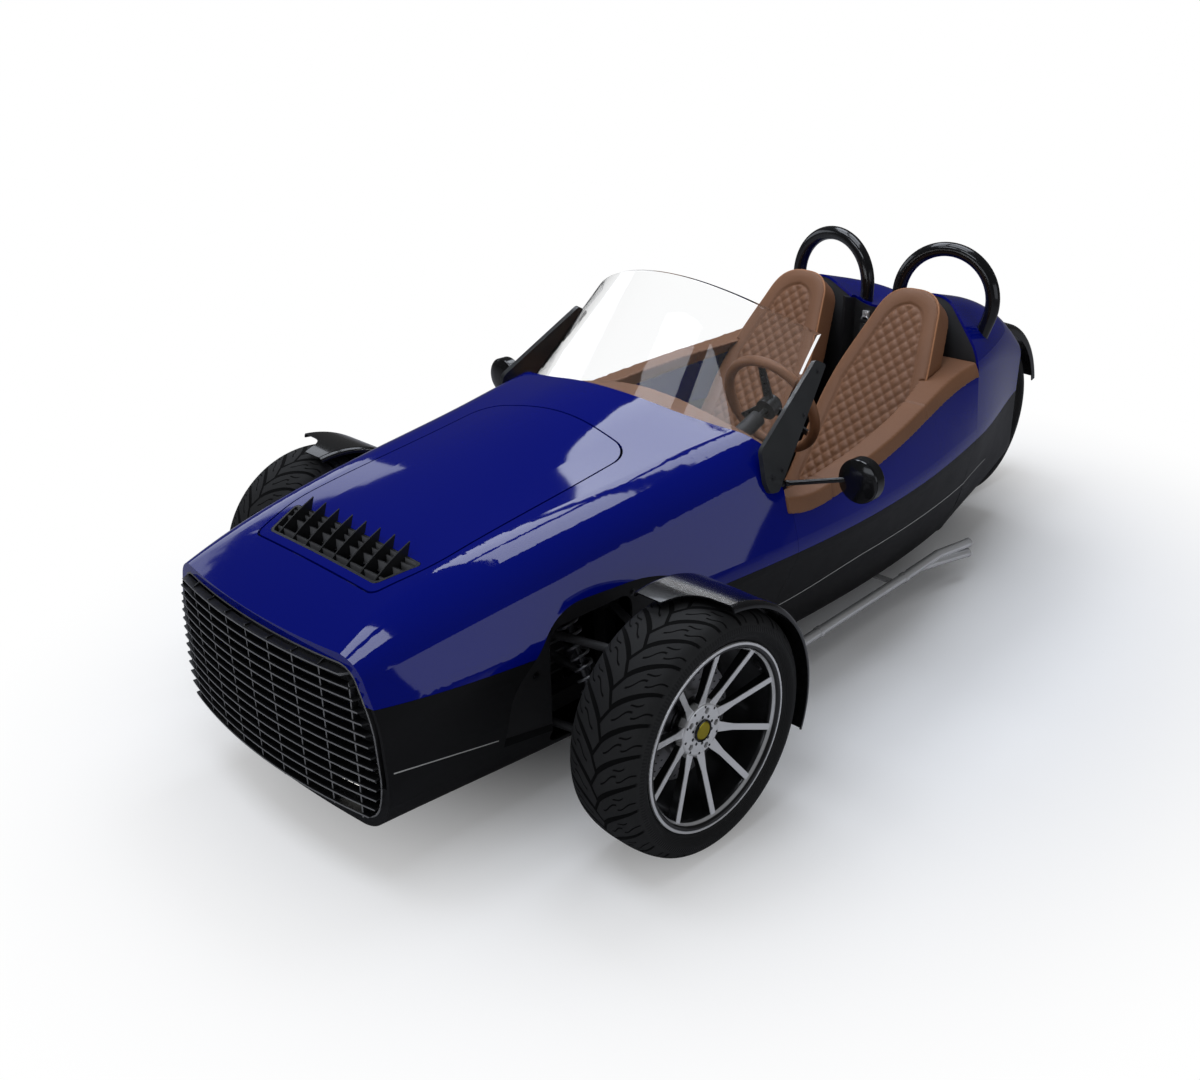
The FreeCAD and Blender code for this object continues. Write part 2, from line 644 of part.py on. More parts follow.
def rim(side, bead, hub_out, axle_z, centre_x, centre_y):
    """Spoked rim with its face on the given side (+1 or -1)."""
    spoke_count = 10
    lip = bead + 7.5
    barrel = [
        (-lip, RIM_R + 11, 2),
        (-lip, RIM_R - 6, 4),
        (-bead + 10, RIM_R - 14, 4),
        (bead - 12, RIM_R - 14, 6),
        (lip, RIM_R - 2, 3),
        (lip, RIM_R + 11, 2),
        (bead + 0.3, RIM_R + 11, 0),
        (bead + 0.3, RIM_R, 0),
        (-bead - 0.3, RIM_R, 0),
        (-bead - 0.3, RIM_R + 11, 0),
    ]
    face = hub_out
    edge = bead - 4
    hub = [(face - 30, 0, 0), (face - 30, 76, 6), (face, HUB_R, 6), (face, 0, 0)]
    pieces = [
        revolve_x([(centre_x + side * x, r, t) for x, r, t in profile], centre_y, axle_z)
        for profile in (barrel, hub)
    ]
    blade = Part.makePolygon([
        vec(centre_x + side * (face - 24), 0, 45),
        vec(centre_x + side * (face - 10), 0, 45),
        vec(centre_x + side * edge, 0, RIM_R - 8),
        vec(centre_x + side * (edge - 26), 0, RIM_R - 8),
        vec(centre_x + side * (face - 24), 0, 45),
    ])
    blade = Part.Face(blade).extrude(vec(0, 40, 0))
    blade.translate(vec(0, -20, 0))
    taper = Part.makePolygon([
        vec(0, -17, 40), vec(0, 17, 40), vec(0, 8, 110), vec(0, 8, RIM_R - 5),
        vec(0, -8, RIM_R - 5), vec(0, -8, 110), vec(0, -17, 40),
    ])
    taper = Part.Face(taper).extrude(vec(4 * FAR, 0, 0))
    taper.translate(vec(-2 * FAR, 0, 0))
    spoke = blade.common(taper)
    for i in range(spoke_count):
        turned = spoke.copy()
        turned.rotate(vec(0, 0, 0), vec(1, 0, 0), 360.0 * i / spoke_count)
        turned.translate(vec(0, centre_y, axle_z))
        pieces.append(turned)
    whole = fuse_all(pieces)
    for i in range(LUGS):
        angle = math.radians(360.0 * i / LUGS + 18)
        across, up = LUG_CIRCLE_R * math.sin(angle), LUG_CIRCLE_R * math.cos(angle)
        at = vec(centre_x + side * (face - LUG_DEPTH), centre_y + across, axle_z + up)
        whole = whole.cut(rod(at, at + vec(side * 2 * LUG_DEPTH, 0, 0), LUG_HOLE_R))
    return only_solid(whole)


def brake_disc(side, centre_x, centre_y, axle_z):
    """Disc, hat, hub flange and spindle, all turning with the wheel."""
    profile = [
        (-16.5, 0, 0),
        (HUB_FACE, 0, 0),
        (HUB_FACE, 84, 0),
        (-8, 84, 0),
        (-8, DISC_R, 0),
        (-8 - DISC_T, DISC_R, 0),
        (-8 - DISC_T, 76, 0),
        (-4.5, 76, 0),
        (-4.5, 30, 0),
        (-16.5, 30, 0),
    ]
    return revolve_x([(centre_x + side * x, r, t) for x, r, t in profile], centre_y, axle_z)


def knuckle(axle_y, axle_z):
    """Left upright: bearing ring, ball-joint bosses, steering arm and caliper lug."""
    x0, x1 = KINGPIN_X - 24, KINGPIN_X + 50
    centre = vec(x0, axle_y, axle_z)
    upright_side = [
        (axle_y - 24, axle_z - 119, 10),
        (axle_y + 24, axle_z - 119, 10),
        (axle_y + 54, axle_z, 40),
        (axle_y + 24, axle_z + 124, 10),
        (axle_y - 24, axle_z + 124, 10),
        (axle_y - 54, axle_z, 40),
    ]
    shape = prism_x(upright_side, KINGPIN_X - 20, KINGPIN_X + 18)
    shape = shape.fuse(rod(centre, centre + vec(x1 - x0, 0, 0), 52))
    arm_z = TIE_ROD_Z + 13
    arm = box(KINGPIN_X - 12, KINGPIN_X + 12, axle_y + 20, axle_y + STEER_ARM, arm_z, arm_z + 16)
    shape = shape.fuse(arm)
    arm_end = vec(KINGPIN_X, axle_y + STEER_ARM, arm_z)
    shape = shape.fuse(rod(arm_end, arm_end + vec(0, 0, 16), 14))
    lug = box(KINGPIN_X + 2, KINGPIN_X + 20, axle_y - 130, axle_y - 30, axle_z + 15, axle_z + 75)
    shape = shape.fuse(lug)
    shape = shape.cut(rod(vec(x0 - 1, axle_y, axle_z), vec(KINGPIN_X + 38, axle_y, axle_z), 42))
    shape = shape.cut(rod(vec(x0 - 1, axle_y, axle_z), vec(x1 + 1, axle_y, axle_z), 30.3))
    for z0, z1 in ((axle_z - 130, axle_z - 92), (axle_z + 97, axle_z + 130)):
        shape = shape.cut(rod(vec(KINGPIN_X, axle_y, z0), vec(KINGPIN_X, axle_y, z1), 9.3))
    return only_solid(shape.removeSplitter())


def caliper(axle_y, axle_z):
    """Left caliper straddling the front of the disc."""
    disc_in = TRACK_HALF - 8 - DISC_T
    disc_out = TRACK_HALF - 8
    outer = revolve_arc([(disc_in - 7.5, 92, 0), (disc_out + 24, 92, 0), (disc_out + 24, 184, 12),
                         (disc_in - 7.5, 184, 6)], axle_y, axle_z, 86, -52)
    slot = revolve_arc([(disc_in - 5, 60, 0), (disc_out + 5, 60, 0), (disc_out + 5, DISC_R + 6, 0),
                        (disc_in - 5, DISC_R + 6, 0)], axle_y, axle_z, 110, -100)
    return only_solid(outer.cut(slot))


def revolve_arc(corners, axle_y, axle_z, start, sweep):
    """Outline (x, radius, tangent length) swept about an axle from a start angle, forward of the top."""
    wire = rounded_wire(corners, lambda x, r: vec(x, axle_y, axle_z + r))
    face = Part.Face(wire)
    face.rotate(vec(0, axle_y, axle_z), vec(1, 0, 0), start)
    return face.revolve(vec(0, axle_y, axle_z), vec(1, 0, 0), sweep)


FENDER_IN = FRONT_TYRE_R + 20


def front_fender(axle_y, axle_z):
    """Left cycle fender with its stay to the upright."""
    inner_x = TRACK_HALF - FRONT_TYRE_W / 2 - 6
    outer_x = TRACK_HALF + FRONT_TYRE_W / 2 - 2
    top = FENDER_IN + FENDER_T
    profile = [
        (inner_x, FENDER_IN - 12, 0),
        (inner_x, top, 14),
        (outer_x, top, 14),
        (outer_x, FENDER_IN - 12, 0),
        (outer_x - FENDER_T, FENDER_IN - 12, 0),
        (outer_x - FENDER_T, FENDER_IN, 10),
        (inner_x + FENDER_T, FENDER_IN, 10),
        (inner_x + FENDER_T, FENDER_IN - 12, 0),
    ]
    shell = revolve_arc(profile, axle_y, axle_z, 11, -121)
    nose_cut = prism_z([
        (inner_x + 30, axle_y - 200, 0),
        (outer_x + 30, axle_y - 200, 0),
        (outer_x + 30, axle_y + 24, 0),
        (inner_x + 120, axle_y + 18, 50),
    ], axle_z + 200, FAR)
    shell = shell.cut(nose_cut)
    stay_angle = math.radians(45)
    out = vec(0, math.sin(stay_angle), math.cos(stay_angle))
    hub = vec(inner_x - 14, axle_y, axle_z)
    reach = rod(hub + out * 46, hub + out * (FENDER_IN + 1), 9)
    foot_from = vec(inner_x - 14, axle_y, axle_z) + out * 47
    foot = rod(foot_from, vec(KINGPIN_X - 24.3, axle_y, axle_z) + out * 47, 9)
    tab_end = hub + out * (FENDER_IN - 4)
    tab = rod(tab_end, tab_end + vec(22, 0, 0), 7)
    return only_solid(fuse_all([shell, reach, foot, tab]))


left_tyre = tyre(TRACK_HALF, FRONT_AXLE_Y, FRONT_TYRE_R, FRONT_TYRE_W, FRONT_BEAD)
left_rim = rim(1, FRONT_BEAD, 45, FRONT_TYRE_R, TRACK_HALF, FRONT_AXLE_Y)
left_disc = brake_disc(1, TRACK_HALF, FRONT_AXLE_Y, FRONT_TYRE_R)
left_knuckle = knuckle(FRONT_AXLE_Y, FRONT_TYRE_R)
left_caliper = caliper(FRONT_AXLE_Y, FRONT_TYRE_R)
left_fender = front_fender(FRONT_AXLE_Y, FRONT_TYRE_R)
for name, shape in (
    ("tyre", left_tyre),
    ("rim", left_rim),
    ("brake_disc", left_disc),
    ("knuckle", left_knuckle),
    ("caliper", left_caliper),
    ("fender", left_fender),
):
    save(f"left_{name}", shape)
    save(f"right_{name}", mirrored(shape))

# ---- front suspension, drive and steering ----
LOWER_BALL_Z = FRONT_TYRE_R - 120
UPPER_BALL_Z = FRONT_TYRE_R + 125
RAIL_X0, RAIL_X1 = 290.0, 330.0
RAIL_Z0, RAIL_Z1 = 185.0, 235.0


def wishbone(ball_z, spread, inner_x, inner_z, pin_from, pin_to, boss_z0, boss_z1):
    """Left A-arm with its ball-joint boss and pin, and a pivot tube along the frame."""
    ball = vec(KINGPIN_X, FRONT_AXLE_Y, (boss_z0 + boss_z1) / 2)
    parts = [
        rod(vec(KINGPIN_X, FRONT_AXLE_Y, boss_z0), vec(KINGPIN_X, FRONT_AXLE_Y, boss_z1), 22),
        rod(vec(KINGPIN_X, FRONT_AXLE_Y, pin_from), vec(KINGPIN_X, FRONT_AXLE_Y, pin_to), 9),
    ]
    for way in (-1, 1):
        foot = vec(inner_x, FRONT_AXLE_Y + way * spread, inner_z)
        parts.append(rod(ball, foot, 11))
        parts.append(rod(foot - vec(0, 22, 0), foot + vec(0, 22, 0), 17))
    return only_solid(fuse_all(parts))


lower_arm = wishbone(LOWER_BALL_Z, 115, RAIL_X1 + 17.3, 210, LOWER_BALL_Z - 10, LOWER_BALL_Z + 20,
                     LOWER_BALL_Z - 26, LOWER_BALL_Z)
upper_arm = wishbone(UPPER_BALL_Z, 118, RAIL_X1 + 47.3, 472, UPPER_BALL_Z - 20, UPPER_BALL_Z + 10,
                     UPPER_BALL_Z + 1, UPPER_BALL_Z + 23)
save("wishbones", *both_sides(lower_arm), *both_sides(upper_arm))

DAMPER_Y = FRONT_AXLE_Y - 47
damper_low = vec(520, DAMPER_Y, 226)
damper_high = vec(366, DAMPER_Y, 548)
axis = damper_high - damper_low
axis.normalize()
body_low = rod(damper_low, damper_low + axis * 190, 17)
body_high = rod(damper_low + axis * 180, damper_high, 9)
spring = rod(damper_low + axis * 70, damper_low + axis * 290, 27).cut(
    rod(damper_low + axis * 68, damper_low + axis * 292, 20))
seats = [rod(damper_low + axis * 62, damper_low + axis * 70, 29),
         rod(damper_low + axis * 290, damper_low + axis * 298, 29)]
eye = rod(damper_low - vec(0, 14, 0), damper_low + vec(0, 14, 0), 15)
top_eye = rod(damper_high - vec(0, 14, 0), damper_high + vec(0, 14, 0), 15)
damper = only_solid(fuse_all([body_low, body_high, spring, eye, top_eye] + seats))
save("coilovers", *both_sides(damper))

save("engine", box(-250, 250, -1440, -1030, 180, 585))
shaft = rod(vec(250, FRONT_AXLE_Y, FRONT_TYRE_R), vec(KINGPIN_X, FRONT_AXLE_Y, FRONT_TYRE_R), 13)
shaft = shaft.fuse(Part.makeSphere(36, vec(KINGPIN_X, FRONT_AXLE_Y, FRONT_TYRE_R)))
save("half_shafts", *both_sides(only_solid(shaft.removeSplitter())))

frame_pieces = []
for way in (-1, 1):
    x0, x1 = sorted((way * RAIL_X0, way * RAIL_X1))
    frame_pieces.append(box(x0, x1, -1500, -560, RAIL_Z0, RAIL_Z1))
    u0, u1 = sorted((way * (RAIL_X0 + 20), way * (RAIL_X1 + 30)))
    frame_pieces.append(box(u0, u1, -1290, -910, 452, 492))
    for y in (-1290, -950):
        frame_pieces.append(box(x0, x1, y, y + 40, RAIL_Z1, 492))
    frame_pieces.append(box(x0, x1, -1500, -1460, RAIL_Z1, 420))
    t0, t1 = sorted((way * 320, way * 350.9))
    frame_pieces.append(box(t0, t1, -1175, -1119, 480, 560))
for y in (-1500, -600):
    frame_pieces.append(box(-RAIL_X0, RAIL_X0, y, y + 40, RAIL_Z0, RAIL_Z1))
frame_pieces.append(box(-RAIL_X0, RAIL_X0, -1500, -1460, 380, 420))
frame_pieces.append(box(-260, 260, -1620, -1500, 200, 225))
for y in (-1420, -1080):
    frame_pieces.append(box(-RAIL_X0, -250, y, y + 30, 190, 225))
    frame_pieces.append(box(250, RAIL_X0, y, y + 30, 190, 225))
save("front_frame", only_solid(fuse_all(frame_pieces)))

rack_y = FRONT_AXLE_Y + STEER_ARM
rack_tube = rod(vec(-270, rack_y, TIE_ROD_Z), vec(270, rack_y, TIE_ROD_Z), 24)
rack_bore = rod(vec(-280, rack_y, TIE_ROD_Z), vec(280, rack_y, TIE_ROD_Z), 12.5)
saddles = [box(min(w * 200, w * 289.7), max(w * 200, w * 289.7), -1018, -982, 190, 240) for w in (-1, 1)]
rack_housing = fuse_all([rack_tube] + saddles).cut(rack_bore)
save("steering_rack", only_solid(rack_housing))
bar = rod(vec(-KINGPIN_X, rack_y, TIE_ROD_Z), vec(KINGPIN_X, rack_y, TIE_ROD_Z), 9)
slider = rod(vec(-330, rack_y, TIE_ROD_Z), vec(330, rack_y, TIE_ROD_Z), 12)
ends = [rod(vec(w * KINGPIN_X, FRONT_AXLE_Y + STEER_ARM, TIE_ROD_Z - 12),
            vec(w * KINGPIN_X, FRONT_AXLE_Y + STEER_ARM, TIE_ROD_Z + 12), 14) for w in (-1, 1)]
save("tie_rods", only_solid(fuse_all([bar, slider] + ends)))

# inner wheel-well panels
well = box(ARCH_INNER_X - WELL_WALL, ARCH_INNER_X - 0.5, -1400, -655, 150, FAR)
well_loft = body_loft(FRONT_SECTIONS, front_section, SKIN + 0.4)
well = well.common(well_loft).common(box(0, FAR, -FAR, FAR, 150, 640))
window = prism_x([(-1245, 172, 30), (-955, 172, 30), (-955, 505, 40), (-1245, 505, 40)], 400, 500)
well = well.cut(window)
save("wheel_wells", *both_sides(only_solid(well)))

# ---- cockpit ----
TILT = math.radians(STEERING_TILT)
wheel_centre = vec(STEERING_X, -118, 762)
column_dir = vec(0, -math.cos(TILT), -math.sin(TILT))
ring = Part.makeTorus(158, 15, wheel_centre, column_dir)
hub_disc = rod(wheel_centre - column_dir * 8, wheel_centre + column_dir * 30, 34)
spoke_parts = []
for angle in (90, 210, 330):
    a = math.radians(angle)
    across = vec(math.cos(a), 0, 0) + vec(0, -math.sin(TILT), math.cos(TILT)) * math.sin(a)
    side_way = across.cross(column_dir)
    edge = Part.makePolygon([
        wheel_centre + across * 20 + side_way * 17,
        wheel_centre + across * 152 + side_way * 10,
        wheel_centre + across * 152 - side_way * 10,
        wheel_centre + across * 20 - side_way * 17,
        wheel_centre + across * 20 + side_way * 17,
    ])
    spoke_parts.append(Part.Face(edge).extrude(column_dir * 7))
shaft_end = wheel_centre + column_dir * 545
column_shaft = rod(wheel_centre + column_dir * 20, shaft_end, 9)
save("steering_wheel", only_solid(fuse_all([ring, hub_disc, column_shaft] + spoke_parts)))

jacket_a = wheel_centre + column_dir * 70
jacket_b = wheel_centre + column_dir * 420
jacket = rod(jacket_a, jacket_b, 26).cut(rod(jacket_a - column_dir, jacket_b + column_dir, 9.3))
cabin = body_loft(FRONT_SECTIONS, front_section, TUB_WALL + 0.4)
dash_side = [
    (COWL_Y - 8, 980, 0),
    (COWL_Y - 8, 690, 40),
    (-560, 628, 30),
    (DASH_REAR_Y, 600, 30),
    (DASH_REAR_Y, 765, 60),
    (-470, 980, 0),
]
dash_zone = prism_x(dash_side, -FAR, FAR)
dash_skin = body_loft(FRONT_SECTIONS, front_section, SKIN + 0.4)
dash_skin = dash_skin.cut(front_outer.cut(cabin).common(box(-FAR, FAR, FRONT_SEAM_Y, FAR, 0, FAR)))
dash = dash_skin.common(dash_zone)
dash = dash.cut(rod(jacket_a - column_dir * 200, jacket_b + column_dir * 200, 26 + SEAT_GAP))
save("column_jacket", only_solid(jacket))

# seats: a reclined back and a cushion for each side
back_base = (268, 300)
back_top = (728, 934)
lean = math.atan2(back_top[0] - back_base[0], back_top[1] - back_base[1])
back_length = math.hypot(back_top[0] - back_base[0], back_top[1] - back_base[1])
back_outline = [
    (-SEAT_HALF + 4, 0, 40),
    (SEAT_HALF - 4, 0, 40),
    (SEAT_HALF, 0.54 * back_length, 120),
    (96, back_length, 84),
    (-96, back_length, 84),
    (-SEAT_HALF, 0.54 * back_length, 120),
]
back_wire = rounded_wire(back_outline, lambda x, v: vec(SEAT_X + x, 0, v))
back = Part.Face(back_wire).extrude(vec(0, -95, 0))
back.rotate(vec(0, 0, 0), vec(1, 0, 0), -math.degrees(lean))
back.translate(vec(0, back_base[0], back_base[1]))
cushion_side = [
    (-170, 205, 30),
    (-170, 335, 50),
    (238, 300, 20),
    (262, 205, 20),
]
cushion = prism_x(cushion_side, SEAT_X - SEAT_HALF, SEAT_X + SEAT_HALF)
seat_base = box(SEAT_X - 160, SEAT_X + 130, -150, 240, 150, 205 - SEAT_GAP)
for name, sides in (("left_seat", lambda s: s), ("right_seat", mirrored)):
    save(name, sides(only_solid(back.cut(cushion).cut(rim_room))), sides(cushion))

# floor pan under the seats
floor_pan = cabin.common(box(-FAR, FAR, FRONT_SEAM_Y, REAR_SEAM_Y - 1, 0, 160))
floor_pan = only_solid(floor_pan.common(box(-FAR, FAR, -455, 690, 0, 160)))
save("floor_pan", only_solid(fuse_all([floor_pan] + both_sides(seat_base))))

# wall between the footwell and the engine
engine_space = body_loft(FRONT_SECTIONS, front_section, SKIN + SEAT_GAP)
firewall = engine_space.common(box(-FAR, FAR, FIREWALL_Y, FIREWALL_Y + 10, 0, FAR))
shaft_hole = rod(wheel_centre, wheel_centre + column_dir * 900, 9.3)
firewall = firewall.cut(shaft_hole)
for w in (-1, 1):
    x0, x1 = sorted((w * RAIL_X0, w * RAIL_X1))
    firewall = firewall.cut(box(x0, x1, -FAR, FAR, RAIL_Z0, RAIL_Z1))
save("firewall", only_solid(firewall))

# windscreen: part of a cone that leans back, with an arched top edge
SCREEN_WALL = GLASS / math.sin(math.atan2(SCREEN_CONE_Z - SCREEN_FOOT_Z, SCREEN_CONE_NOSE_Y - SCREEN_NOSE_Y))
arch_corners = [
    vec(-SCREEN_FOOT_HALF, -FAR, SCREEN_FOOT_Z - 1),
    vec(SCREEN_FOOT_HALF, -FAR, SCREEN_FOOT_Z - 1),
    vec(SCREEN_SHOULDER[0], -FAR, SCREEN_SHOULDER[1]),
    vec(-SCREEN_SHOULDER[0], -FAR, SCREEN_SHOULDER[1]),
]
arch = Part.Face(Part.Wire([
    Part.makeLine(arch_corners[0], arch_corners[1]),
    Part.makeLine(arch_corners[1], arch_corners[2]),
    Part.Arc(arch_corners[2], vec(0, -FAR, SCREEN_TOP_Z), arch_corners[3]).toShape(),
    Part.makeLine(arch_corners[3], arch_corners[0]),
])).extrude(vec(0, 2 * FAR, 0))


def screen_cone(grow):
    """Cone through the windscreen's outer face, grown by a clearance."""
    foot = vec(0, SCREEN_NOSE_Y + SCREEN_FOOT_R, SCREEN_FOOT_Z)
    head = vec(0, SCREEN_CONE_NOSE_Y + SCREEN_CONE_R, SCREEN_CONE_Z)
    rings = [
        Part.Wire(Part.makeCircle(SCREEN_FOOT_R + grow, foot)),
        Part.Wire(Part.makeCircle(SCREEN_CONE_R + grow, head)),
    ]
    return Part.makeLoft(rings, True, True)


def screen_sheet(grow):
    """Bowed sheet of glass with its top arch, grown by a clearance on both faces."""
    sheet = screen_cone(grow).cut(screen_cone(-SCREEN_WALL - grow))
    return sheet.common(box(-FAR, FAR, -FAR, SCREEN_SIDE_Y, 0, FAR)).common(arch)


glass = screen_sheet(0)
glass = only_solid(glass.cut(front_outer.cut(behind_cowl(0.0))))
save("windscreen", glass)

blade_foot = vec(541, -546, 684)
blade_side = [
    (-556, 716, 8),
    (-552, 804, 14),
    (-262, 988, 8),
    (-219, 966, 10),
    (-366, 820, 40),
    (-509, 679, 10),
    (-544, 684, 8),
]
screen_blade = prism_x(blade_side, blade_foot.x, blade_foot.x + BLADE_T)
screen_blade.rotate(blade_foot, vec(0, 1, 0), -BLADE_LEAN)
screen_blade = screen_blade.cut(front_body).cut(left_side).cut(left_rim_solid)
screen_blade = only_solid(screen_blade.cut(screen_sheet(SEAT_GAP)))
save("screen_blades", *both_sides(screen_blade))
dash = dash.cut(screen_sheet(SEAT_GAP)).cut(fuse_all(both_sides(screen_blade))).cut(front_body)
dash = dash.cut(fuse_all(both_sides(dash_clear)))
save("dashboard", only_solid(dash))

# mirrors
MIRROR = vec(716, -365, 720)
mirror_head = rod(MIRROR - vec(0, 16, 0), MIRROR + vec(0, 14, 0), 62)
stalk_foot = vec(510, -500, 690)
stalk = rod(stalk_foot, MIRROR - vec(20, 10, 0), 7)
mirror = only_solid(fuse_all([mirror_head, stalk]).cut(front_outer))
save("mirrors", *both_sides(mirror))

save("roll_hoops", *hoops)

# belts between the seats
belt = prism_x([
    (RECESS_Y - 1.3, 812, 0),
    (RECESS_Y - 6, 812, 0),
    (RECESS_Y - 8, 640, 60),
    (560, 440, 60),
    (300, 172, 0),
    (305, 168, 0),
    (566, 437, 60),
    (RECESS_Y - 1.3, 636, 60),
], 14, 58)
save("seat_belts", *both_sides(only_solid(belt.common(box(0, FAR, 0, FAR, 160.3, FAR)))))

# ---- exhausts ----
EXHAUST_BORE_R = EXHAUST_R - 3
pipe_end = vec(EXHAUST_X - 40, 430, EXHAUST_Z)
outlets = [
    [pipe_end, vec(EXHAUST_X - 25, 550, EXHAUST_Z - 8), vec(EXHAUST_X, 688, EXHAUST_Z - 15)],
    [
        pipe_end - vec(0, 60, 0),
        vec(EXHAUST_X - 30, 530, EXHAUST_Z + 20),
        vec(EXHAUST_X - 2, 692, EXHAUST_Z + 22),
    ],
]
tubes = [rod(vec(EXHAUST_X, -520, EXHAUST_Z), pipe_end, EXHAUST_R)]
bores = []
for route in outlets:
    for start, end in zip(route, route[1:]):
        tubes.append(Part.makeSphere(EXHAUST_R, start))
        tubes.append(rod(start, end, EXHAUST_R))
    inwards = route[1] - route[2]
    inwards.normalize()
    bores.append(rod(route[2] + inwards * 80, route[2] - inwards, EXHAUST_BORE_R))
for y in (-300.0, 250.0):
    tubes.append(box(400, EXHAUST_X - 20, y, y + 24, EXHAUST_Z + 4, EXHAUST_Z + 12))
exhaust = fuse_all(tubes).cut(body_loft(FRONT_SECTIONS, front_section, -0.2)).cut(fuse_all(bores))
save("exhausts", *both_sides(only_solid(exhaust)))

# ---- rear end ----
rear_tyre = tyre(0, REAR_AXLE_Y, REAR_TYRE_R, REAR_TYRE_W, REAR_BEAD)
save("rear_tyre", rear_tyre)
save("rear_rim", rim(1, REAR_BEAD, 60, REAR_TYRE_R, 0, REAR_AXLE_Y))
rear_profile = [
    (-70, 0, 0),
    (30, 0, 0),
    (30, 60, 0),
    (-52, 60, 0),
    (-52, 120, 0),
    (-62, 120, 0),
    (-62, 30, 0),
    (-70, 30, 0),
]
save("rear_brake_disc", revolve_x(rear_profile, REAR_AXLE_Y, REAR_TYRE_R))
arm_x0, arm_x1 = -205.0, -152.0
swing_side = [
    (PIVOT_Y - 40, 330, 30),
    (PIVOT_Y - 40, 250, 30),
    (REAR_AXLE_Y + 60, 280, 40),
    (REAR_AXLE_Y + 60, 376, 40),
    (REAR_AXLE_Y - 120, 390, 60),
]
arm_beam = prism_x(swing_side, arm_x0, arm_x1)
hub_stub = rod(vec(arm_x1 - 10, REAR_AXLE_Y, REAR_TYRE_R), vec(-70.6, REAR_AXLE_Y, REAR_TYRE_R), 44)
cross_leg = box(arm_x0, 150, PIVOT_Y - 26, PIVOT_Y + 26, 264, 316)
swingarm = only_solid(fuse_all([arm_beam, hub_stub, cross_leg]))
save("swingarm", swingarm)

rear_frame = []
for w in (-1, 1):
    x0, x1 = sorted((w * 210, w * 250))
    rear_frame.append(box(x0, x1, 640, 1040, 190, 240).fuse(box(x0, x1, 960, 1040, 240, 340)))
rear_frame.append(box(-250, 250, 716, 756, 190, 240))
rear_frame.append(box(-250, 250, 820, 860, 500, 540).fuse(box(-250, -210, 820, 860, 190, 540)).fuse(
    box(210, 250, 820, 860, 190, 540)))
rear_frame = only_solid(fuse_all(rear_frame).cut(box(-FAR, FAR, 0, REAR_SEAM_Y + 12.3, 0, FAR)))
save("rear_frame", rear_frame)
shock = rod(vec(0, 842, 492), vec(0, PIVOT_Y + 16, 326), 22)
save("rear_shock", only_solid(shock.cut(rear_frame).cut(swingarm)))

fender_end = math.radians(76)
rear_top = (OVERALL_LENGTH / 2 - REAR_AXLE_Y) / math.sin(fender_end)
rear_half = REAR_TYRE_W / 2 + 6
hugger = [
    (-rear_half, rear_top - 50, 0),
    (-rear_half, rear_top - 12, 20),
    (0, rear_top, 60),
    (rear_half, rear_top - 12, 20),
    (rear_half, rear_top - 50, 0),
    (rear_half - 4, rear_top - 50, 0),
    (rear_half - 4, rear_top - 16, 18),
    (0, rear_top - 4, 60),
    (-rear_half + 4, rear_top - 16, 18),
    (-rear_half + 4, rear_top - 50, 0),
]
rear_fender = revolve_arc(hugger, REAR_AXLE_Y, REAR_TYRE_R, 8, -84)
stay = box(arm_x1 - 0.5, -rear_half + 2, REAR_AXLE_Y - 20, REAR_AXLE_Y + 20, 340, 680)
stay = stay.cut(swingarm)
save("rear_fender", only_solid(fuse_all([rear_fender, stay])))

lights = [rod(vec(w * 236, TAIL_END_Y - 2, 585), vec(w * 236, TAIL_END_Y + 16, 585), 38) for w in (-1, 1)]
save("tail_lights", *lights)
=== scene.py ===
"""Looks of an open three wheeled car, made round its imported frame.

The car faces -Y, its left side is +X and +Z is up. All lengths are in metres.
"""

import logging
import math
from dataclasses import dataclass
from enum import Enum
from typing import Callable, Sequence

import bmesh
import bpy
from mathutils import Matrix, Vector

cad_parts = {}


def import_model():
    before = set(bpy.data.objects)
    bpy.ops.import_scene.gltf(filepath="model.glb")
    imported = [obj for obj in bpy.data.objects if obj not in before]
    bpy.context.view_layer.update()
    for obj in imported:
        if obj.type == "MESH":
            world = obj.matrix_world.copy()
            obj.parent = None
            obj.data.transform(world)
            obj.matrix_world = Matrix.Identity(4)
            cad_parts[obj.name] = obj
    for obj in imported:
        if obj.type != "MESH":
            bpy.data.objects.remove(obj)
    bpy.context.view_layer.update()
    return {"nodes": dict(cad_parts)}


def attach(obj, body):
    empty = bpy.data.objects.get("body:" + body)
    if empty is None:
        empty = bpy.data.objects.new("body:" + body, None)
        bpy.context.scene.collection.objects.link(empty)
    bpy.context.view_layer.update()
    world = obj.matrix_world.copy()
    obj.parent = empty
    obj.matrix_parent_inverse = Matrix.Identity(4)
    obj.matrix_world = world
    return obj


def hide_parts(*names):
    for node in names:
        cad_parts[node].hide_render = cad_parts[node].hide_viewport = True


Colour = tuple[float, float, float]
Spot = tuple[float, float, float]
Point = Vector | Spot
LOG = logging.getLogger("three_wheeler")

FRONT_AXLE = (-1.100, 0.318)
REAR_AXLE = (1.440, 0.328)
TRACK_HALF = 0.7575
STEERING_HUB = (0.222, -0.118, 0.762)
GRIP_R = 0.158
SMOOTH_ANGLE = math.radians(34.0)
ALONG_Y = (0.0, 1.0, 0.0)


class Side(Enum):
    """Side of the car a mirrored piece is on, as the sign of its X."""

    LEFT = 1
    RIGHT = -1

    @property
    def word(self) -> str:
        """Lower-case name used in piece names."""
        return self.name.lower()

    def put(self, point: Point) -> Vector:
        """A point or direction that is given for the left side, on this side."""
        return Vector((self.value * point[0], *point[1:]))


def shade(colour: Colour, by: float) -> Colour:
    """A colour made darker or lighter by a factor."""
    return tuple(by * part for part in colour)


# ---------------------------------------------------------------- shader graph


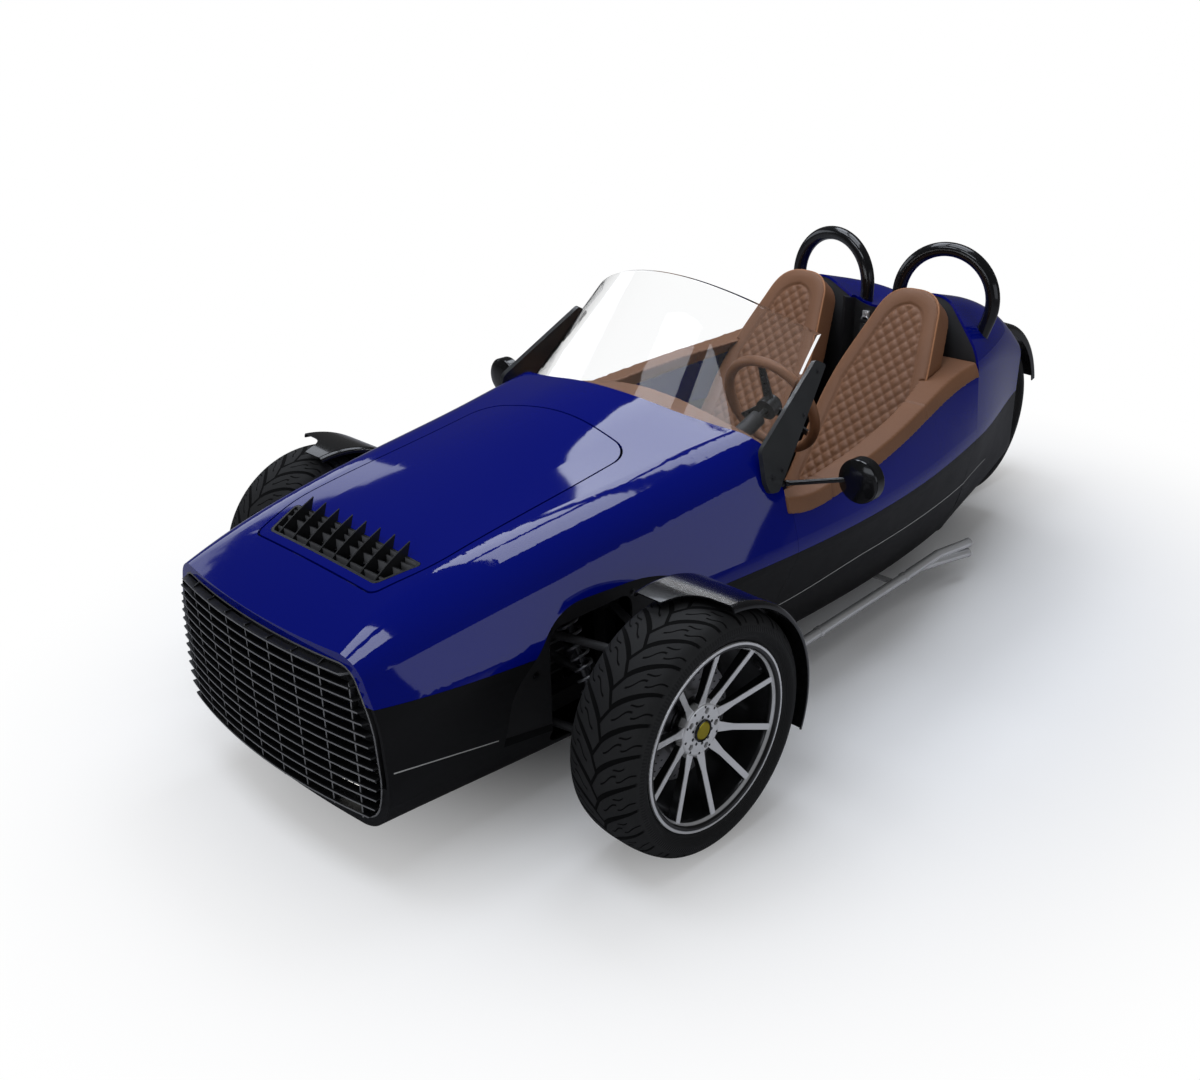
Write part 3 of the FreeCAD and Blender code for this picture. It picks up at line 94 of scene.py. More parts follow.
class Value:
    """A socket that writes node maths as Python expressions."""

    def __init__(self, graph: "Graph", socket: bpy.types.NodeSocket) -> None:
        """Wraps one output socket of a graph."""
        self.graph = graph
        self.socket = socket

    def _math(self, operation: str, *values: "Value | float") -> "Value":
        """Adds one Math node over the given values."""
        return self.graph.node("ShaderNodeMath", {"operation": operation}, dict(enumerate(values)))

    def __add__(self, other: "Value | float") -> "Value":
        """Sum."""
        return self._math("ADD", self, other)

    def __radd__(self, other: float) -> "Value":
        """Sum with the number first."""
        return self._math("ADD", other, self)

    def __sub__(self, other: "Value | float") -> "Value":
        """Difference."""
        return self._math("SUBTRACT", self, other)

    def __rsub__(self, other: float) -> "Value":
        """Difference with the number first."""
        return self._math("SUBTRACT", other, self)

    def __mul__(self, other: "Value | float") -> "Value":
        """Product."""
        return self._math("MULTIPLY", self, other)

    def __rmul__(self, other: float) -> "Value":
        """Product with the number first."""
        return self._math("MULTIPLY", other, self)

    def __abs__(self) -> "Value":
        """Size without sign."""
        return self._math("ABSOLUTE", self)

    def sin(self) -> "Value":
        """Sine of an angle in radians."""
        return self._math("SINE", self)

    def wave(self) -> "Value":
        """Sine of an angle in radians, moved to run from 0 to 1."""
        return self.sin() * 0.5 + 0.5

    def root(self) -> "Value":
        """Square root."""
        return self._math("SQRT", self)

    def span(self, *others: "Value") -> "Value":
        """Length of a vector.

        Args:
            others: its parts besides this one.

        Returns:
            The root of the sum of their squares.
        """
        total = self * self
        for other in others:
            total = total + other * other
        return total.root()

    def lowest(self, other: "Value | float") -> "Value":
        """The smaller of two values."""
        return self._math("MINIMUM", self, other)

    def highest(self, other: "Value | float") -> "Value":
        """The larger of two values."""
        return self._math("MAXIMUM", self, other)

    def fract(self) -> "Value":
        """Part after the whole number."""
        return self._math("FRACT", self)

    def power(self, other: float) -> "Value":
        """Value raised to a power."""
        return self._math("POWER", self, other)

    def angle(self, other: "Value") -> "Value":
        """Angle of the point (other, self), as atan2."""
        return self._math("ARCTAN2", self, other)

    def ramp(self, start: float, end: float) -> "Value":
        """Smooth step from 0 at start to 1 at end."""
        return self.graph.node(
            "ShaderNodeMapRange",
            {"interpolation_type": "SMOOTHSTEP"},
            {"Value": self, "From Min": start, "From Max": end},
        )

    def near(self, centre: float, half: float, soft: float) -> "Value":
        """1 within half of centre, falling to 0 over soft."""
        return abs(self - centre).ramp(half + soft, half)

    def peer(self, name: str) -> "Value":
        """Another output of the same node."""
        return Value(self.graph, self.socket.node.outputs[name])


class Graph:
    """The nodes of one material, or of the world."""

    # places of the Mix node's colour sockets, which share their names with its number sockets
    MIX_LOW = 6
    MIX_HIGH = 7
    MIX_RESULT = 2

    def __init__(self, name: str, world: bpy.types.World | None = None) -> None:
        """Starts an empty material, or empties a world's nodes.

        Args:
            name: the material's name.
            world: the world whose nodes these are.
        """
        self.material = world or bpy.data.materials.new(name)
        self.material.use_nodes = True
        self.tree = self.material.node_tree
        self.tree.nodes.clear()

    def node(
        self,
        kind: str,
        settings: dict[str, object] | None = None,
        sockets: dict[str | int, "Value | object"] | None = None,
        output: str | int = 0,
    ) -> Value:
        """Adds a node.

        Args:
            kind: the node's type.
            settings: its own settings, set first.
            sockets: values or links of its inputs, by name or place.
            output: the output that is returned.

        Returns:
            The chosen output.
        """
        made = self.tree.nodes.new(kind)
        for key, value in (settings or {}).items():
            setattr(made, key, value)
        for key, value in (sockets or {}).items():
            if isinstance(value, Value):
                self.tree.links.new(value.socket, made.inputs[key])
            else:
                made.inputs[key].default_value = value
        return Value(self, made.outputs[output]) if made.outputs else None

    def place(self, centre: Spot | None = None) -> tuple[Value, Value, Value, Value]:
        """The point on the piece.

        Args:
            centre: where X, Y and Z are counted from, the car's origin when it is left out.

        Returns:
            The vector socket, which keeps the car's origin, and the point's X, Y and Z.
        """
        vector = self.node("ShaderNodeTexCoord", output="Object")
        x = self.node("ShaderNodeSeparateXYZ", sockets={0: vector})
        parts = (x, x.peer("Y"), x.peer("Z"))
        if centre:
            parts = tuple(part - middle for part, middle in zip(parts, centre))
        return (vector, *parts)

    def ray(self, kind: str) -> Value:
        """1 for rays of one kind, such as Camera or Glossy."""
        return self.node("ShaderNodeLightPath", output=f"Is {kind} Ray")

    def seen(self) -> Value:
        """1 where the surroundings are looked at, straight on or through glass."""
        return self.ray("Camera").highest(self.ray("Transmission"))

    def noise(self, scale: float, detail: float = 3.0, vector: Value | None = None) -> Value:
        """Soft noise from 0 to 1 at so many waves a metre."""
        vector = vector or self.place()[0]
        return self.node("ShaderNodeTexNoise", {}, {"Vector": vector, "Scale": scale, "Detail": detail})

    def cells(self, scale: float, vector: Value | None = None) -> Value:
        """Distance to the nearest cell centre, for grain and pores."""
        vector = vector or self.place()[0]
        return self.node("ShaderNodeTexVoronoi", {}, {"Vector": vector, "Scale": scale}, "Distance")

    def mix(self, factor: Value | float, low: Value | Colour, high: Value | Colour) -> Value:
        """Blends two colours.

        Args:
            factor: 0 for low, 1 for high.
            low: the first colour.
            high: the second colour.

        Returns:
            The blended colour.
        """
        low = low if isinstance(low, Value) else (*low, 1.0)
        high = high if isinstance(high, Value) else (*high, 1.0)
        sockets = {"Factor": factor, self.MIX_LOW: low, self.MIX_HIGH: high}
        return self.node("ShaderNodeMix", {"data_type": "RGBA"}, sockets, self.MIX_RESULT)

    def bump(self, height: Value, strength: float, distance: float) -> Value:
        """Normal from a height in units of distance."""
        return self.node(
            "ShaderNodeBump", {}, {"Height": height, "Strength": strength, "Distance": distance})

    def surface(self, **sockets: Value | float | Colour) -> bpy.types.Material:
        """Closes the material with a Principled shader.

        Args:
            sockets: its inputs, with _ for a space in the name.

        Returns:
            The finished material.
        """
        wanted = {}
        for key, value in sockets.items():
            words = key.replace("_", " ")
            if isinstance(value, tuple) and len(value) == 3 and words != "Normal":
                value = (*value, 1.0)
            wanted[words] = value
        shader = self.node("ShaderNodeBsdfPrincipled", {}, wanted)
        self.node("ShaderNodeOutputMaterial", {}, {"Surface": shader})
        return self.material


# -------------------------------------------------------------------- finishes


@dataclass(frozen=True)
class Paint:
    """Clear-coated body paint with a fine flake."""

    name: str
    colour: Colour
    roughness: float = 0.50

    def build(self) -> bpy.types.Material:
        """Makes the material.

        Returns:
            The finished material.
        """
        g = Graph(self.name)
        flake = g.cells(1400.0)
        broad = g.noise(2.2, 2.0)
        tone = g.mix(flake.ramp(0.1, 0.7) * 0.45 + broad * 0.35, self.colour, shade(self.colour, 0.70))
        return g.surface(
            Base_Color=tone,
            Roughness=self.roughness + 0.06 * broad,
            Specular_IOR_Level=0.0,
            Coat_Weight=1.0,
            Coat_Roughness=0.045,
            Coat_IOR=1.5,
        )


@dataclass(frozen=True)
class StripedSatin:
    """Dark satin lower-body paint with one thin light line along it, and painted shade towards its bottom
    edge.

    The nose line is (start Y, its height there, slope) and the side line (height at the front,
    height at the back). Each reach is the (middle, half length) of a line along Y.
    """

    name: str
    colour: Colour = (0.0058, 0.0058, 0.0064)
    line: Colour = (0.36, 0.36, 0.35)
    nose_line: tuple[float, float, float] = (-1.7225, 0.337, -0.185)
    nose_reach: tuple[float, float] = (-1.580, 0.150)
    side_line: tuple[float, float] = (0.334, 0.300)
    side_drop: tuple[float, float] = (-0.46, 0.0)
    side_reach: tuple[float, float] = (0.270, 0.700)
    half: float = 0.0015
    soft: float = 0.0004
    end: float = 0.001

    def build(self) -> bpy.types.Material:
        """Makes the material.

        Returns:
            The finished material.
        """
        g = Graph(self.name)
        vector, _, y, z = g.place()
        start, level, slope = self.nose_line
        nose = (z - ((y - start) * slope + level)).near(0.0, self.half, self.soft)
        nose = nose * y.near(*self.nose_reach, self.end)
        high, low = self.side_line
        side = (z - (y.ramp(*self.side_drop) * (high - low) + low)).near(0.0, self.half, self.soft)
        side = side * y.near(*self.side_reach, self.end)
        dust = g.noise(9.0, 4.0, vector)
        # painted shade: the satin is darkened towards its bottom edge; the dust noise beside it is real
        # dirt
        painted_underside_shade = z.ramp(0.24, 0.11) * 0.45
        base = g.mix(painted_underside_shade + dust * 0.22, self.colour, shade(self.colour, 0.4))
        return g.surface(
            Base_Color=g.mix(nose.highest(side), base, self.line),
            Roughness=0.42 + 0.12 * dust,
            Specular_IOR_Level=0.14,
            Coat_Weight=0.09,
            Coat_Roughness=0.22,
            Normal=g.bump(g.noise(420.0, 2.0, vector), 0.06, 0.0003),
        )


@dataclass(frozen=True)
class GlossBlack:
    """Gloss black paint or moulding."""

    name: str
    colour: Colour = (0.0045, 0.0045, 0.005)
    roughness: float = 0.14

    def build(self) -> bpy.types.Material:
        """Makes the material.

        Returns:
            The finished material.
        """
        g = Graph(self.name)
        haze = g.noise(14.0, 3.0)
        return g.surface(
            Base_Color=g.mix(haze, self.colour, shade(self.colour, 1.8)),
            Roughness=self.roughness + 0.08 * haze,
            Specular_IOR_Level=0.3,
            Coat_Weight=0.45,
            Coat_Roughness=0.05,
        )


@dataclass(frozen=True)
class Moulded:
    """Grained black plastic or crackle coat."""

    name: str
    colour: Colour = (0.010, 0.010, 0.011)
    roughness: float = 0.5
    grain: float = 700.0

    def build(self) -> bpy.types.Material:
        """Makes the material.

        Returns:
            The finished material.
        """
        g = Graph(self.name)
        pores = g.cells(self.grain)
        wear = g.noise(7.0, 4.0)
        return g.surface(
            Base_Color=g.mix(wear, self.colour, shade(self.colour, 1.9)),
            Roughness=self.roughness + 0.14 * wear,
            Normal=g.bump(pores, 0.18, 0.0006),
        )


@dataclass(frozen=True)
class FacedBars:
    """Black bars whose forward faces are painted a lighter grey as a highlight."""

    name: str
    colour: Colour = (0.006, 0.006, 0.0065)
    # colour of the painted highlight on the forward faces
    edge: Colour = (0.16, 0.16, 0.165)

    def build(self) -> bpy.types.Material:
        """Makes the material.

        Returns:
            The finished material.
        """
        g = Graph(self.name)
        face = g.node("ShaderNodeNewGeometry", output="Normal")
        ahead = g.node("ShaderNodeSeparateXYZ", sockets={0: face}).peer("Y")
        haze = g.noise(30.0, 4.0)
        # painted highlight: faces that point forwards get the lighter grey
        lit = (0.0 - ahead).ramp(0.72, 0.9) * (0.8 + 0.2 * haze)
        return g.surface(
            Base_Color=g.mix(lit, self.colour, self.edge),
            Roughness=0.34 + 0.16 * haze,
            Normal=g.bump(g.noise(500.0, 2.0), 0.06, 0.0003),
        )


@dataclass(frozen=True)
class Leather:
    """Tan leather with pores, broad tone and handled sheen."""

    name: str
    colour: Colour = (0.205, 0.092, 0.043)
    deep: Colour = (0.128, 0.054, 0.024)

    def build(self) -> bpy.types.Material:
        """Makes the material.

        Returns:
            The finished material.
        """
        g = Graph(self.name)
        vector = g.place()[0]
        pores = g.cells(620.0, vector)
        folds = g.noise(90.0, 5.0, vector)
        tone = g.noise(6.0, 4.0, vector)
        fine = g.noise(260.0, 3.0, vector)
        worn = (tone * 0.6 + fine * 0.4 - 0.1).highest(0.0).lowest(1.0)
        return g.surface(
            Base_Color=g.mix(worn, self.colour, self.deep),
            Roughness=0.46 + 0.16 * fine,
            Specular_IOR_Level=0.35,
            Normal=g.bump(pores * 0.6 + folds * 0.5, 0.24, 0.0009),
        )


@dataclass(frozen=True)
class Rubber:
    """Tyre rubber: branched grooves round the tread with painted shade in them, and fine rings on the
    walls.
    """

    name: str
    centre: Spot
    radius: float
    half: float
    bead_r: float = 0.2286
    crown_depth: tuple[float, float] = (0.034, 0.026)
    wall_rings: tuple[float, float, float] = (0.030, 0.009, 2300.0)
    shoulder_teeth: tuple[float, float, float] = (0.042, 0.005, 50.0)
    ring_end: float = 0.002
    pitches: int = 26
    # short cuts between the branches: offset in pitches, edge, bottom, middle and half length out
    short_cuts: tuple[tuple[float, float, float, float, float], ...] = (
        (0.50, 0.0034, 0.0018, 0.38, 0.17),
        (0.32, 0.0030, 0.0015, 0.74, 0.15),
        (0.70, 0.0028, 0.0014, 0.60, 0.10),
    )
    rubber: Colour = (0.0125, 0.0125, 0.0130)
    worn: Colour = (0.021, 0.021, 0.021)
    # near black, used as painted shade in the tread grooves and for darker bands along the wall rings and
    # shoulder teeth
    deep: Colour = (0.0010, 0.0010, 0.0010)

    def build(self) -> bpy.types.Material:
        """Makes the material.

        Returns:
            The finished material.
        """
        g = Graph(self.name)
        vector, x, y, z = g.place(self.centre)
        r = y.span(z)
        turns = z.angle(y) * (self.pitches / math.tau)
        dust = g.noise(26.0, 5.0, vector)
        grain = g.noise(900.0, 2.0, vector)
        crown = r.ramp(*(self.radius - depth for depth in self.crown_depth))
        cuts = self.grooves(x, turns) * crown
        above, half, waves = self.wall_rings
        rings = (r * waves).wave() * r.near(self.bead_r + above, half, self.ring_end)
        below, half, waves = self.shoulder_teeth
        teeth = (turns * waves).wave() * r.near(self.radius - below, half, self.ring_end)
        relief = cuts * -1.0 + (rings + teeth) * 0.14 * (1.0 - crown) + grain * 0.02
        base = g.mix(dust * 0.9, self.rubber, self.worn)
        # darker bands along the wall rings and shoulder teeth, following their relief
        base = g.mix((rings + teeth).lowest(1.0) * (1.0 - crown) * 0.5, base, self.deep)
        return g.surface(
            # painted shade: the tread grooves are coloured near black
            Base_Color=g.mix(cuts, base, self.deep),
            Roughness=(0.50 + 0.16 * dust + 0.10 * crown).highest(cuts),
            Specular_IOR_Level=0.20,
            Normal=g.bump(relief, 0.9, 0.006),
        )

    def grooves(self, across: Value, turns: Value) -> Value:
        """Depth of the tread's grooves from 0 to 1.

        Args:
            across: distance from the tyre's middle plane.
            turns: pitches round the tyre.

        Returns:
            1 at the bottom of a groove.
        """
        pitch = math.tau * self.radius / self.pitches
        u = across * (1.0 / self.half)
        out = abs(u)
        wave = abs((turns + 0.25).fract() - 0.5) * 4.0 - 1.0
        trunk = (u - wave * 0.085).near(0.0, 0.030, 0.014)
        sweep = out.power(0.62) * 1.35
        shift = u.ramp(-0.001, 0.001) * 0.5
        along = turns + sweep + shift
        branch = abs(along.fract() - 0.5) * pitch
        width = (1.0 - out * 0.72) * 0.0088 + 0.0012
        leaf = (branch - width).ramp(0.0012, -0.0008) * out.ramp(0.02, 0.08)
        ripple = (out * 17.0).sin() * 0.050
        depth = trunk.highest(leaf)
        for offset, edge, bottom, middle, half in self.short_cuts:
            gap = abs((along + offset + ripple).fract() - 0.5) * pitch
            depth = depth.highest(gap.ramp(edge, bottom) * out.near(middle, half, 0.03))
        return depth


@dataclass(frozen=True)
class MachinedRim:
    """Bright cut faces over a black barrel."""

    name: str
    centre: Spot
    hub_x: float
    edge_x: float
    lip_x: float
    side: int = 1
    hub_r: float = 0.045
    face_r: float = 0.0750
    edge_r: float = 0.2206
    lip_r: float = 0.2325
    below: float = 0.0016
    black: Colour = (0.006, 0.006, 0.0065)
    bright: Colour = (0.82, 0.82, 0.83)

    def build(self) -> bpy.types.Material:
        """Makes the material.

        Returns:
            The finished material.
        """
        g = Graph(self.name)
        vector, x, y, z = g.place(self.centre)
        r = y.span(z)
        out = x * float(self.side)
        slope = (self.edge_x - self.hub_x) / (self.edge_r - self.hub_r)
        front = ((r - self.hub_r) * slope).highest(0.0) + self.hub_x - self.below
        spoke = (out - front).ramp(-0.0014, 0.0006) * r.ramp(self.edge_r + 0.002, self.edge_r)
        hub = r.ramp(self.face_r + 0.0015, self.face_r) * (out - self.hub_x).ramp(-0.012, -0.004)
        lip = r.ramp(self.lip_r - 0.001, self.lip_r + 0.001)
        lip = lip * out.ramp(self.lip_x - 0.006, self.lip_x - 0.004)
        cut = spoke.highest(lip).highest(hub)
        turned = (r * 2400.0).wave() * cut
        smear = g.noise(30.0, 4.0, vector)
        return g.surface(
            Base_Color=g.mix(cut, self.black, self.bright),
            Metallic=0.1 + 0.5 * cut,
            Roughness=0.26 - 0.06 * cut + 0.08 * smear,
            Coat_Weight=0.4,
            Coat_Roughness=0.06,
            Normal=g.bump(turned, 0.02, 0.0003),
        )


@dataclass(frozen=True)
class Metal:
    """Bare or plated metal with brushed or cast texture."""

    name: str
    colour: Colour
    roughness: float
    grain: float = 300.0
    depth: float = 0.08
    metal: float = 1.0

    def build(self) -> bpy.types.Material:
        """Makes the material.

        Returns:
            The finished material.
        """
        g = Graph(self.name)
        vector = g.place()[0]
        lines = g.noise(self.grain, 4.0, vector)
        haze = g.noise(11.0, 3.0, vector)
        return g.surface(
            Base_Color=g.mix(haze, self.colour, shade(self.colour, 0.82)),
            Metallic=self.metal,
            Roughness=self.roughness * 0.8 + self.roughness * 0.5 * lines,
            Normal=g.bump(lines, self.depth, 0.0005),
        )


@dataclass(frozen=True)
class DrilledDisc:
    """Turned iron with rows of small holes, painted dark as the shade inside them."""

    name: str
    centre: tuple[float, float]
    holes: int = 30
    first_r: float = 0.100
    middle_r: float = 0.124
    row: float = 0.016
    column: float = 0.026
    hole_r: tuple[float, float] = (0.0034, 0.0026)
    # colour of the painted shade in the holes
    dark: Colour = (0.01, 0.01, 0.01)

    def build(self) -> bpy.types.Material:
        """Makes the material.

        Returns:
            The finished material.
        """
        g = Graph(self.name)
        vector, _, y, z = g.place()
        y, z = y - self.centre[0], z - self.centre[1]
        r = y.span(z)
        step = (r - self.first_r) * (1.0 / self.row)
        turn = z.angle(y) * (self.holes / math.tau) + step * 0.5
        across = (turn.fract() - 0.5) * self.column
        along = (step.fract() - 0.5) * self.row
        hole = across.span(along).ramp(*self.hole_r) * r.near(self.middle_r, 0.020, 0.001)
        cut = (r * 6200.0).wave()
        stain = g.noise(16.0, 4.0, vector)
        bright = g.mix(stain, (0.50, 0.50, 0.51), (0.36, 0.35, 0.34))
        return g.surface(
            # painted shade: the holes are coloured near black
            Base_Color=g.mix(hole, bright, self.dark),
            Metallic=1.0 - 0.9 * hole,
            Roughness=0.26 + 0.12 * stain,
            Normal=g.bump(cut * 0.1 - hole, 0.35, 0.0012),
        )


@dataclass(frozen=True)
class FinStack:
    """Thin cooling fins across a core, with painted shade in the gaps between them."""

    name: str
    colour: Colour = (0.030, 0.031, 0.033)
    pitch: float = 0.005
    tubes: float = 0.012

    def build(self) -> bpy.types.Material:
        """Makes the material.

        Returns:
            The finished material.
        """
        g = Graph(self.name)
        vector, x, _, z = g.place()
        fins = abs((x * (1.0 / self.pitch)).fract() - 0.5) * 2.0
        tube = (abs((z * (1.0 / self.tubes)).fract() - 0.5) * 2.0).ramp(0.70, 0.85)
        dust = g.noise(12.0, 4.0, vector)
        height = (fins * (1.0 - tube)).highest(tube)
        dusty = g.mix(dust, self.colour, shade(self.colour, 2.0))
        return g.surface(
            # painted shade: the gaps between fins are a quarter as bright as the dusty fin tops and tubes
            Base_Color=g.mix(height, shade(self.colour, 0.25), dusty),
            Metallic=0.7,
            Roughness=0.42 + 0.15 * dust,
            Normal=g.bump(height, 0.6, 0.002),
        )


@dataclass(frozen=True)
class ClearScreen:
    """Clear acrylic of the windscreen and mirror faces."""

    name: str
    tint: Colour = (0.985, 0.990, 0.992)

    def build(self) -> bpy.types.Material:
        """Makes the material.

        Returns:
            The finished material.
        """
        g = Graph(self.name)
        smear = g.noise(5.0, 3.0)
        return g.surface(
            Base_Color=self.tint,
            Roughness=0.004 + 0.02 * smear.ramp(0.55, 0.85),
            IOR=1.30,
            Transmission_Weight=1.0,
        )


@dataclass(frozen=True)
class Glow:
    """Lamp lens with a ribbed inner face."""

    name: str
    colour: Colour
    glow: float = 0.0
    ribs: float = 1320.0

    def build(self) -> bpy.types.Material:
        """Makes the material.

        Returns:
            The finished material.
        """
        g = Graph(self.name)
        _, x, _, z = g.place()
        ribs = (x * self.ribs).wave() * (z * self.ribs).wave()
        tone = g.mix(ribs, self.colour, shade(self.colour, 0.55))
        return g.surface(
            Base_Color=tone,
            Roughness=0.12 + 0.1 * ribs,
            Coat_Weight=1.0,
            Coat_Roughness=0.03,
            Emission_Color=tone,
            Emission_Strength=self.glow,
            Normal=g.bump(ribs, 0.25, 0.001),
        )


@dataclass(frozen=True)
class Webbing:
    """Woven belt cloth."""

    name: str
    colour: Colour = (0.042, 0.044, 0.045)
    threads: float = 2600.0

    def build(self) -> bpy.types.Material:
        """Makes the material.

        Returns:
            The finished material.
        """
        g = Graph(self.name)
        _, x, y, z = g.place()
        weave = ((y + z) * self.threads).wave() * (x * self.threads).wave()
        return g.surface(
            Base_Color=g.mix(weave, self.colour, shade(self.colour, 3.0)),
            Roughness=0.74 + 0.1 * weave,
            Normal=g.bump(weave, 0.4, 0.0006),
        )


@dataclass(frozen=True)
class WheelGrip:
    """Leather ring with dark metal spokes and hub inside it."""

    name: str
    centre: Spot = STEERING_HUB
    ring_r: float = GRIP_R
    tube_r: float = 0.017
    leather: Colour = (0.260, 0.110, 0.050)
    metal: Colour = (0.050, 0.050, 0.052)

    def build(self) -> bpy.types.Material:
        """Makes the material.

        Returns:
            The finished material.
        """
        g = Graph(self.name)
        vector, x, y, z = g.place(self.centre)
        r = x.span(y, z)
        inner, outer = self.ring_r - self.tube_r, self.ring_r + self.tube_r
        ring = r.ramp(inner - 0.001, inner + 0.001) * r.ramp(outer + 0.004, outer + 0.002)
        pores = g.cells(620.0, vector)
        tone = g.noise(30.0, 4.0, vector)
        skin = g.mix(tone, self.leather, shade(self.leather, 0.6))
        return g.surface(
            Base_Color=g.mix(ring, self.metal, skin),
            Metallic=0.85 - 0.85 * ring,
            Roughness=0.34 + 0.14 * ring,
            Normal=g.bump(pores, 0.12, 0.0006),
        )


# ---------------------------------------------------------------------- studio


@dataclass
class Studio:
    """Floor, lights, world and camera."""

    eye: Spot = (2.392, -3.010, 1.919)
    yaw: float = math.radians(-45.22)
    dip: float = math.radians(24.08)
    roll: float = math.radians(-0.72)
    lens: float = 36.99
    sensor: float = 36.0
    reach: float = 100.0
    floor_half: float = 14.0
    floor_fade: tuple[float, float] = (0.8, 2.1)
    floor_tone: Colour = (0.97, 0.97, 0.97)
    floor_mirrored: Colour = (0.34, 0.34, 0.36)
    ambient: float = 0.30
    mirrored: float = 0.06
    tint: Colour = (0.86, 0.91, 1.0)
    aim: Spot = (0.0, -0.3, 0.4)
    overhead: float = 3.0
    # place, size and power of each soft box
    lamp_plan: tuple[tuple[Spot, tuple[float, float], float], ...] = (
        ((-1.32, 0.00, 3.4), (1.15, 1.00), 16.0),
        ((-1.32, 1.45, 3.4), (1.15, 1.50), 24.0),
        ((0.08, 0.00, 3.4), (1.25, 1.00), 17.0),
        ((0.08, 1.45, 3.4), (1.25, 1.50), 24.0),
        ((-0.80, -2.30, 3.5), (1.30, 1.20), 22.0),
        ((0.90, -2.30, 3.5), (1.30, 1.20), 22.0),
        ((4.4, 0.4, 1.5), (4.2, 1.5), 18.0),
        ((-4.4, -0.8, 2.2), (3.4, 1.6), 24.0),
        ((0.8, -5.2, 1.6), (2.8, 1.0), 16.0),
    )

    def build(self) -> None:
        """Makes everything that isn't the car."""
        bpy.context.scene.view_settings.view_transform = "Standard"
        self.camera()
        self.world()
        self.floor()
        for n, (spot, size, power) in enumerate(self.lamp_plan):
            self.lamp(n, Vector(spot), size, power)

    def camera(self) -> None:
        """Places the camera at the car's front left corner."""
        ahead = Vector((
            math.cos(self.dip) * math.sin(self.yaw),
            math.cos(self.dip) * math.cos(self.yaw),
            -math.sin(self.dip),
        ))
        level = ahead.cross(Vector((0, 0, 1))).normalized()
        upright = level.cross(ahead)
        right = math.cos(self.roll) * level + math.sin(self.roll) * upright
        up = math.cos(self.roll) * upright - math.sin(self.roll) * level
        data = bpy.data.cameras.new("camera")
        data.sensor_width = self.sensor
        data.lens = self.lens
        data.clip_end = self.reach
        camera = bpy.data.objects.new("camera", data)
        turn = Matrix((right, up, -ahead)).transposed().to_4x4()
        camera.matrix_world = Matrix.Translation(self.eye) @ turn
        bpy.context.scene.collection.objects.link(camera)
        bpy.context.scene.camera = camera

    def world(self) -> None:
        """Pale surroundings, white where they are seen."""
        world = bpy.data.worlds.new("surroundings")
        bpy.context.scene.world = world
        g = Graph(world.name, world)
        dim = g.node("ShaderNodeMapRange", {}, {
            "Value": g.ray("Glossy"), "To Min": self.ambient, "To Max": self.mirrored})
        glow = g.node("ShaderNodeMapRange", {}, {"Value": g.seen(), "To Min": dim, "To Max": 1.0})
        white = g.node("ShaderNodeBackground", {}, {"Color": (1.0, 1.0, 1.0, 1.0), "Strength": glow})
        g.node("ShaderNodeOutputWorld", {}, {"Surface": white})

    def floor(self) -> None:
        """Pale floor that fades to white away from the car."""
        g = Graph("floor")
        _, x, y, _ = g.place()
        reach = (x * x + (y * y) * 0.62).root()
        fade = reach.ramp(*self.floor_fade) * g.seen()
        tone = g.mix(g.ray("Glossy"), self.floor_tone, self.floor_mirrored)
        matt = g.node("ShaderNodeBsdfDiffuse", {}, {"Color": tone})
        white = g.node("ShaderNodeEmission", {}, {"Color": (1.0, 1.0, 1.0, 1.0), "Strength": 1.0})
        mixed = g.node("ShaderNodeMixShader", {}, {0: fade, 1: matt, 2: white})
        g.node("ShaderNodeOutputMaterial", {}, {"Surface": mixed})
        shape = bmesh.new()
        bmesh.ops.create_grid(shape, x_segments=2, y_segments=2, size=self.floor_half)
        finished(shape, "floor", g.material)

    def lamp(self, number: int, spot: Vector, size: tuple[float, float], power: float) -> None:
        """Adds one soft box that looks at the car.

        Args:
            number: its place in the plan, for its name.
            spot: where it hangs.
            size: its width and height.
            power: its power in watts.
        """
        data = bpy.data.lights.new(f"soft_box_{number}", "AREA")
        data.shape = "RECTANGLE"
        data.size, data.size_y = size
        data.energy = power
        data.color = self.tint
        lamp = bpy.data.objects.new(data.name, data)
        way = Vector((0.0, 0.0, -1.0)) if spot.z > self.overhead else Vector(self.aim) - spot
        lamp.matrix_world = Matrix.Translation(spot) @ way.to_track_quat("-Z", "Y").to_matrix().to_4x4()
        bpy.context.scene.collection.objects.link(lamp)


# --------------------------------------------------------------- mesh helpers


def finished(
    shape: bmesh.types.BMesh,
    name: str,
    material: bpy.types.Material,
    smooth: bool = False,
) -> bpy.types.Object:
    """Turns a bmesh into an object at the origin.

    Args:
        shape: the mesh, freed afterwards.
        name: name of the piece.
        material: its finish.
        smooth: whether its faces shade smoothly.

    Returns:
        The new object.
    """
    for face in shape.faces:
        face.smooth = smooth
    mesh = bpy.data.meshes.new(name)
    shape.to_mesh(mesh)
    shape.free()
    mesh.materials.append(material)
    made = bpy.data.objects.new(name, mesh)
    bpy.context.scene.collection.objects.link(made)
    return made


def facing(way: Vector) -> Matrix:
    """Turn that takes +Z to a direction."""
    return way.to_track_quat("Z", "Y").to_matrix().to_4x4()


